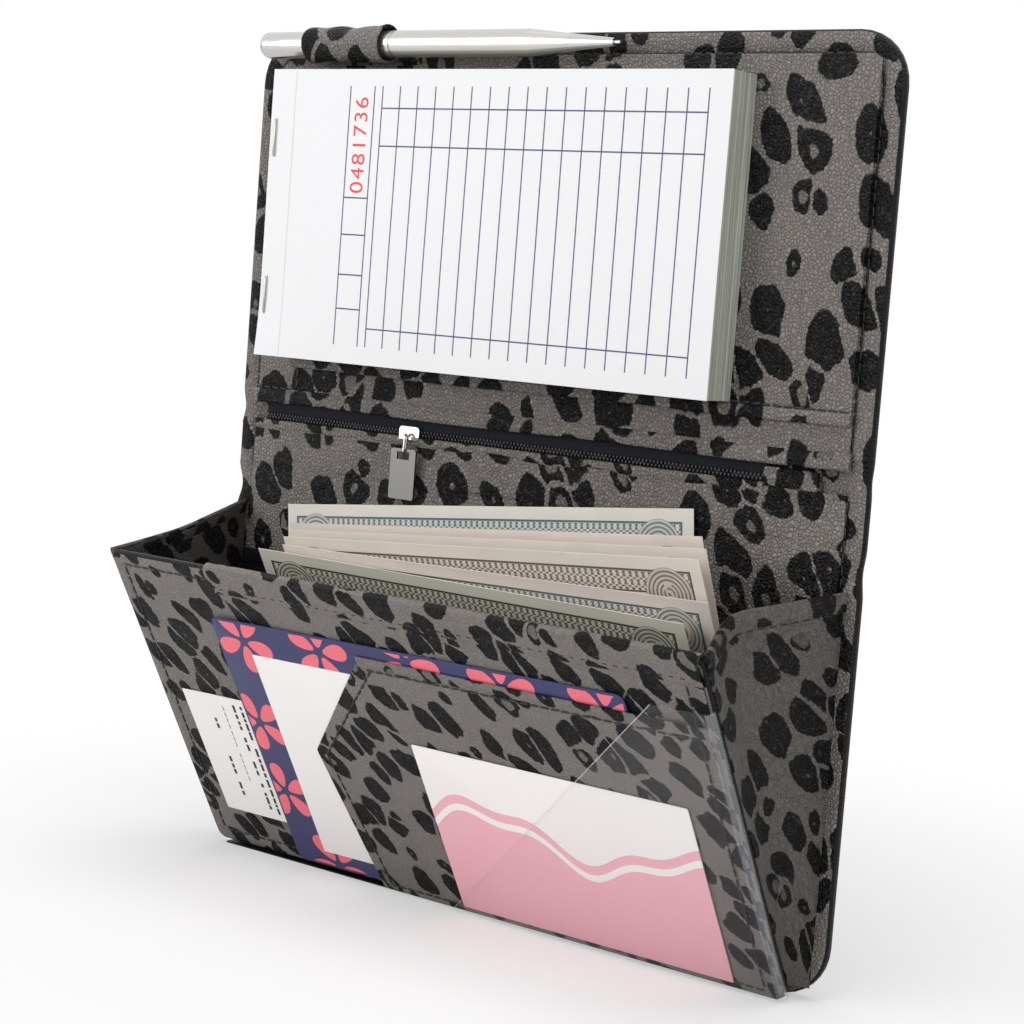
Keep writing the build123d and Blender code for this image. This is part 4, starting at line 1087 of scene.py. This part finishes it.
def receipt_face(x, u):
    """The receipt's far upper corner curls forward."""
    return 2.28 + 0.5 * max(0.0, (-78 - x) / 22) ** 2 * max(0.0, (u - 20) / 45)


def receipt_marks():
    """Rows of strips that stand for words. The second row is a thin broken line."""
    marks = []
    for row, x in enumerate(MARK_ROWS):
        u = 58.0 if row < 2 else 59.5
        low = 30.0 if row == 1 else 18.5
        while u > low:
            length = rng.uniform(1.0, 3.2) if row != 1 else 1.7
            if rng.random() > (0.15 if row else 0.5):
                marks.append((x, u, x, u - length, 1.05 if row != 1 else 0.3))
            u -= length + rng.uniform(0.4, 0.9)
    return marks


receipt = sheet_grid(
    "receipt_slip", lambda x, u: on_front(x, u, receipt_face(x, u)), spaced(-98.5, -41.5, 20),
    spaced(15.0, 62.0, 16), 0.15, RECEIPT, RECEIPT_BODY, "receipt_paper",
)
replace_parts(receipt, "receipt")
ink_strips(
    "receipt_marks", receipt_marks(), RECEIPT_INK, RECEIPT_BODY, "receipt_paper", on_front, receipt_face,
    INK_LIFT,
)

# Menu card
MENU_TURN = math.radians(0.6)
MENU_X, MENU_U = 5.5, 49.0
MENU_HALF_X, MENU_HALF_U = 75.7, 45.2
MENU_PRINT_DEPTH = 3.50


def menu_place(x, u, m):
    c, s = math.cos(MENU_TURN), math.sin(MENU_TURN)
    return on_front(MENU_X + x * c - u * s, MENU_U + x * s + u * c, m)


def petal(x, u, turn, near, far, width):
    """A leaf-shaped print from near to far along its turn, cut off at the card's edge."""
    points = []
    for k in range(20):
        a = math.tau * k / 20
        along = (near + far) / 2 + (far - near) / 2 * math.cos(a)
        across = width / 2 * math.sin(a) * (1.0 + 0.35 * math.cos(a))
        px = x + along * math.cos(turn) - across * math.sin(turn)
        pu = u + along * math.sin(turn) + across * math.cos(turn)
        points.append((max(-MENU_HALF_X, min(MENU_HALF_X, px)), max(-MENU_HALF_U, min(MENU_HALF_U, pu))))
    return points


def blossoms():
    """Blossoms of five petals along the menu card's edges, as points and faces."""
    centres = [(x, 41.0) for x in spaced(-66.0, 70.0, 5)] + [(x, -43.5) for x in spaced(-60.0, 64.0, 5)]
    centres += [(side * 71.5, u) for side in (-1, 1) for u in (-20.0, 9.0)]
    places, faces = [], []
    for x, u in centres:
        x += rng.uniform(-2.0, 2.0)
        u += rng.uniform(-2.0, 2.0)
        turn = rng.uniform(0, math.tau)
        size = rng.uniform(1.0, 1.2)
        for k in range(5):
            points = petal(x, u, turn + math.tau * k / 5, 1.6 * size, 10.5 * size, 5.0 * size)
            faces.append(tuple(range(len(places), len(places) + len(points))))
            places += points
    return places, faces


menu = layer(
    "menu_card_paper", menu_place, box(
        -76.5, 76.5, -46, 46,
    ), 3.14, 3.48, MENU_NAVY, "menu", "menu_paper", 0.06, 3.0
)
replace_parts(menu, "menu_card")
layer(
    "menu_white_panel", menu_place, box(-63.5, 63, -40, 34.5), 3.46, 3.53, WHITE_CARD, "menu", "menu_paper",
    0.01, 0.3,
)
printed(
    "menu_blossom_petals", *blossoms(), MENU_PINK, "menu", "menu_paper", menu_place,
    lambda x, u: MENU_PRINT_DEPTH, 0.0,
)

# Card behind the window, and the clear window
small_card = layer(
    "window_card_paper", on_front, box(
        -2.0, 94.0, 2.6, 62.6,
    ), 4.28, 4.54, CARD_PRINT, "small_card", "card_paper",
    0.05, 0.7,
)
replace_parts(small_card, "window_card")
CLEAR_SLOT = "clear_vinyl"
WINDOW_TOP = 96.0
window = layer(
    "clear_window_sheet", on_front, [(-7.0, 0.1), (107.8, 0.1), (107.8, WINDOW_TOP), (91.0, WINDOW_TOP)],
    4.66, 4.9, CLEAR, POCKET_BODY, CLEAR_SLOT, 0.08, 0.5,
)
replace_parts(window, "clear_window")
WRAP_X, WRAP_M, WRAP_RADIUS, WRAP_INNER = 107.8, 3.0, 1.9, 0.86
wrap = []
for k in range(9):
    a = math.pi / 2 - math.pi * k / 8
    wrap.append((WRAP_X + WRAP_RADIUS * math.cos(a), WRAP_M + WRAP_RADIUS * math.sin(a)))
for x, m in wrap[::-1]:
    wrap.append((WRAP_X + (x - WRAP_X) * WRAP_INNER, WRAP_M + (m - WRAP_M) * WRAP_INNER))
sweep(
    "clear_window_roll", lambda t, a, b: on_front(a, t, b), wrap, CLEAR_ROLL, POCKET_BODY, CLEAR_SLOT,
    spaced(0.5, WINDOW_TOP, 24),
)
ink_strips(
    "clear_window_cut_edge", [
        (-7.0, 0.3, 91.0, WINDOW_TOP, 0.35)
    ], CLEAR_EDGE, POCKET_BODY, CLEAR_SLOT, on_front,
    lambda x, u: 4.92, 0.0,
)

# Gussets: soft side walls with a bound upper edge
BOUND_EDGE = [
    (-4.6, 0.15), (-4.4, 0.62), (-3.6, 0.9), (-1.4, 1.0), (0.1, 0.75), (0.6, 0.0), (0.2, -0.8), (-1.0, -1.2),
    (-4.0, -1.15), (-4.6, -0.9),
]
GUSSET_HEIGHT = 111.4
GUSSET_STITCH_V = 106.2
GUSSET_STITCHES = 15


def length_of(points):
    return sum((p - q).length for p, q in zip(points, points[1:]))


def edge_frame(place, side, t, v, lower):
    """A place on a gusset, with the directions along its edge, down the leather and out of it."""
    here = place(t, v)
    ahead = place(min(1.0, t + 0.02), v) - place(max(0.0, t - 0.02), v)
    down = (place(t, lower) - here).normalized()
    return here, ahead, down, ahead.normalized().cross(down).normalized() * side


def bound_edge(name, place, side, stations, material):
    """The thick binding over a gusset's upper edge."""
    verts, uvs = [], []
    for t in stations:
        here, _, down, out = edge_frame(place, side, t, POCKET_TOP, 106.0)
        for a, b in BOUND_EDGE:
            verts.append(here + (down * -a + out * b) * MM)
            uvs.append((t * 62, 108 + a + b))
    faces = tube(len(stations), len(BOUND_EDGE))
    return mesh_object(name, verts, faces, uvs, material, "back", LEATHER_SLOT, keep_sharp=40)


def gusset_stitches(name, place, side):
    run = []
    for k in range(GUSSET_STITCHES):
        here, ahead, _, out = edge_frame(place, side, (k + 0.5) / GUSSET_STITCHES, GUSSET_STITCH_V, 100.0)
        run.append((here + out * 0.0002, ahead, out))
    return stitch_row(name, [run], "back")


def gusset(name, side, fold, peak, lift_by, material):
    """A side wall between the pocket's front (t = 0) and its back (t = 1), with one inward fold."""

    def place(t, v):
        share = v / GUSSET_HEIGHT
        front = on_front(side * 109.3, 111.0 * share, 0.7)
        back = on_back(side * 112.8, GUSSET_HEIGHT * share, 0.1)
        rise = min(t / peak, (1 - t) / (1 - peak)) - 0.10 * math.exp(-((t - peak) / 0.05) ** 2)
        soft = math.sin(v * 0.10 + t * 5.0) * 0.5 * share * math.sin(math.pi * t)
        wave = fold * share * rise - soft
        lift = lift_by * share ** 4 * rise
        return front.lerp(back, t) + Vector((-side * wave, 0, lift)) * MM

    ts = spaced(0.0, 1.0, 34)
    vs = spaced(3.5, POCKET_TOP, 40)
    order = ts if side > 0 else ts[::-1]
    wall = sheet_grid(
        name, place, order, vs, 0.9, material, "back", LEATHER_SLOT,
        lambda t, v: (t * 62 * (v / GUSSET_HEIGHT) * 0.6 + t * 20, v),
    )
    bound = bound_edge(name + "_bound_edge", place, side, order, material)
    row = gusset_stitches(name + "_stitches", place, side)
    top_width, foot_width = (length_of([place(t, v) for t in ts]) for v in (vs[-1], vs[0]))
    drop = length_of([place(0.5, v) for v in vs])
    for piece in (wall, bound, row):
        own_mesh(piece)
    return wall


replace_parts(gusset("gusset_left_leather", -1, 1.5, 0.5, -1.6, SHADED_LEATHER), "gusset_left")
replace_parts(gusset("gusset_right_leather", 1, 8.0, 0.33, 4.6, GUSSET_LEATHER), "gusset_right")

# Banknotes: tilt, turn, middle, centre and bow of each, with its ink and tint
NOTES = (
    ((0.0, 6.0, -11.0, 43.4, 0.2), (0.060, 0.150, 0.190), (0.92, 0.88, 0.80)),
    ((13.0, 5.6, 4.6, 40.7, 0.6), (0.110, 0.095, 0.085), (0.93, 0.82, 0.76)),
    ((17.5, 5.3, 10.0, 40.3, -0.4), (0.060, 0.150, 0.180), (0.93, 0.86, 0.78)),
    ((22.0, 5.2, 12.0, 40.2, 0.5), (0.110, 0.080, 0.065), (0.93, 0.87, 0.76)),
    ((26.0, 1.7, 14.7, 35.5, 0.4), (0.050, 0.110, 0.140), (0.93, 0.83, 0.78)),
    ((30.0, -0.2, 8.1, 33.5, -0.8), (0.012, 0.020, 0.014), (0.94, 0.90, 0.76)),
)
NOTE_SLOT = "banknote_paper"


def banknote(k, pose, ink, tint):
    tilt, turn, middle, centre, bow = pose
    depth = 1.3 + 0.3 * k
    lean, spin = math.radians(tilt), math.radians(turn)
    name, body = f"banknote_{k + 1}", f"note_{k + 1}"

    def place(x, y, lift=0.0):
        xx = middle + x * math.cos(spin) - y * math.sin(spin)
        t = centre + x * math.sin(spin) + y * math.cos(spin)
        high = max(0.0, (y + NOTE_HALF_Y) / (2 * NOTE_HALF_Y))
        curve = bow * high ** 2 * (1 - (x / NOTE_HALF_X) ** 2) if k else 0.0
        n = depth + t * math.sin(lean) + curve + 0.12 * high * math.sin(x * 0.12 + k) + lift
        return on_back(xx, 44.0 + t * math.cos(lean), n)

    sheet = sheet_grid(
        name + "_paper", place, spaced(-NOTE_HALF_X, NOTE_HALF_X, 40), spaced(
            -NOTE_HALF_Y, NOTE_HALF_Y, 20,
        ), 0.16,
        note_print(name + "_print", ink, tint, k), body, NOTE_SLOT,
    )
    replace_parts(sheet, name)
    for side, side_name in ((-1, "left"), (1, "right")):
        digits(
            f"{name}_number_{side_name}", str(5 * (k % 3 + 1)), side * CARTOUCHE_X, CARTOUCHE_Y, 8.5, 0,
            NOTE_NUMBER, body, NOTE_SLOT, place, lambda x, y: 0.05,
        )


for k, note in enumerate(NOTES):
    banknote(k, *note)

# Stitching
SIDE_X = HALF - STITCH_INSET
ARC_X, ARC_RADIUS = HALF - CORNER, 8.7
COVER_STITCH_LOW = 149.0


def back_run(points, depth, out=BACK_OUT):
    return run_along(on_back, out, points, depth)


def front_run(points, depth):
    return run_along(on_front, FRONT_OUT, points, depth)


cover_line = [(SIDE_X, COVER_STITCH_LOW), (SIDE_X, TOP - CORNER)]
cover_line += arc_points(ARC_X, TOP - CORNER, ARC_RADIUS, 0, 90)[1:] + [(-ARC_X, TOP - STITCH_INSET)]
cover_line += arc_points(-ARC_X, TOP - CORNER, ARC_RADIUS, 90, 180)[1:] + [(-SIDE_X, COVER_STITCH_LOW)]
back_line = [(SIDE_X, BACK_TOP), (SIDE_X, CORNER)]
back_line += arc_points(ARC_X, CORNER, ARC_RADIUS, 0, -90)[1:] + [(-ARC_X, STITCH_INSET)]
back_line += arc_points(-ARC_X, CORNER, ARC_RADIUS, 270, 180)[1:] + [(-SIDE_X, BACK_TOP)]
stitch_row("cover_stitches", [
    back_run(cover_line, -0.45),
    back_run([(-111.0, 148.6), (110.6, 148.6)], 0.25),
    back_run([(-93.0, 159.4), (110.2, 159.4)], 1.35),
    back_run([(-92.4, 148.6), (-92.4, 156.0)], 0.68),
    back_run([(-58.5, 252.4), (-49.8, 252.4)], 1.55),
    back_run(cover_line, -3.15, -BACK_OUT),
], "cover")
stitch_row(
    "spine_stitches", [back_run([(x, 112.0), (x, 136.0)], -0.75) for x in (SIDE_X, -SIDE_X)], "spine",
)
stitch_row("back_stitches", [
    back_run(back_line, -3.15, -BACK_OUT),
    back_run([(SIDE_X, BACK_TOP), (SIDE_X, CORNER)], -0.45),
], "back")
stitch_row("pocket_front_stitches", [
    front_run([(-104.5, 106.6), (-68.5, 106.6)], 1.78),
    front_run([(-104.5, 106.0), (-104.5, 5.0)], 1.78),
    front_run([(-64.0, 104.9), (104.0, 104.9)], 2.83),
    front_run([(104.0, 104.0), (104.0, 4.0)], 4.3),
    front_run([(-11.0, 86.6), (104.0, 86.6)], 4.0),
    front_run([(-9.2, 86.6), (-39.8, 50.4), (-31.0, 3.0)], 3.97),
    front_run([(-32.0, 2.6), (104.0, 2.6)], 3.97),
    front_run([(-104.0, 4.4), (-36.0, 4.4)], 1.78),
], POCKET_BODY)

# Floor, world, lamps and camera
WHITE = (1, 1, 1, 1)
FILL_LEVEL = 0.30
FLOOR_HALF = 6.0
SHADOW_NEAR, SHADOW_FAR, SHADOW_LIFT = 0.10, 0.30, 0.42


def floor_material():
    """A pale floor that keeps the object's shadow and goes over to plain white away from it."""
    m = Shader("studio_floor")
    m.set(color=(0.94, 0.94, 0.94), rough=0.9, spec=0.1)
    far = m.length(m.node("ShaderNodeTexCoord").outputs["Object"])
    white = m.node("ShaderNodeEmission", {"Color": WHITE, "Strength": 1.0})
    seen = m.node("ShaderNodeLightPath").outputs["Is Camera Ray"]
    whitened = m.mul(m.step(far, SHADOW_NEAR, SHADOW_FAR, SHADOW_LIFT), seen)
    mixed = m.node("ShaderNodeMixShader", {0: whitened, 1: m.bsdf.outputs[0], 2: white.outputs[0]})
    m.put(m.out.inputs[0], mixed.outputs[0])
    return m.mat


def studio_floor():
    data = bpy.data.meshes.new("studio_floor")
    corners = [(x, y, 0) for x, y in box(-FLOOR_HALF, FLOOR_HALF, -FLOOR_HALF, FLOOR_HALF)]
    data.from_pydata(corners, [], [(0, 1, 2, 3)])
    data.materials.append(floor_material())
    floor = bpy.data.objects.new("studio_floor", data)
    bpy.context.scene.collection.objects.link(floor)


def studio_world():
    """White behind the object, and a weaker even light for everything else."""
    world = bpy.data.worlds.new("studio")
    bpy.context.scene.world = world
    world.use_nodes = True
    tree = world.node_tree
    tree.nodes.clear()
    out = tree.nodes.new("ShaderNodeOutputWorld")
    mixed = tree.nodes.new("ShaderNodeMixShader")
    for socket, strength in ((1, FILL_LEVEL), (2, 1.0)):
        light = tree.nodes.new("ShaderNodeBackground")
        light.inputs[0].default_value = WHITE
        light.inputs[1].default_value = strength
        tree.links.new(light.outputs[0], mixed.inputs[socket])
    ray = tree.nodes.new("ShaderNodeLightPath")
    seen = ray.outputs["Is Camera Ray"]
    for kind in ("Is Glossy Ray", "Is Transmission Ray"):
        either = tree.nodes.new("ShaderNodeMath")
        either.operation = "MAXIMUM"
        tree.links.new(seen, either.inputs[0])
        tree.links.new(ray.outputs[kind], either.inputs[1])
        seen = either.outputs[0]
    tree.links.new(seen, mixed.inputs[0])
    tree.links.new(mixed.outputs[0], out.inputs[0])


def lamp(name, place, target, size, power):
    data = bpy.data.lights.new(name, "AREA")
    data.shape = "RECTANGLE"
    data.size, data.size_y = size
    data.energy = power
    obj = bpy.data.objects.new(name, data)
    obj.location = place
    obj.rotation_euler = (Vector(target) - Vector(place)).to_track_quat("-Z", "Y").to_euler()
    bpy.context.scene.collection.objects.link(obj)


def studio_camera():
    """The camera that was fitted to the photograph."""
    data = bpy.data.cameras.new("camera")
    data.lens = 82.797
    data.sensor_width = 36.0
    camera = bpy.data.objects.new("camera", data)
    camera.location = (0.42805, -0.53384, 0.20694)
    camera.rotation_euler = (1.445754, -0.048024, 0.676463)
    bpy.context.scene.collection.objects.link(camera)
    bpy.context.scene.camera = camera


studio_floor()
studio_world()
lamp("key_left", (-0.85, -1.30, 0.55), (0.0, 0.0, 0.12), (0.8, 0.9), 10.4)
lamp("fill_right", (1.35, -0.75, 0.85), (0.0, 0.0, 0.10), (0.9, 1.1), 5.0)
lamp("top", (0.1, -0.1, 1.6), (0.0, 0.0, 0.1), (1.0, 1.0), 13.5)
studio_camera()
bpy.context.scene.view_settings.view_transform = "Standard"
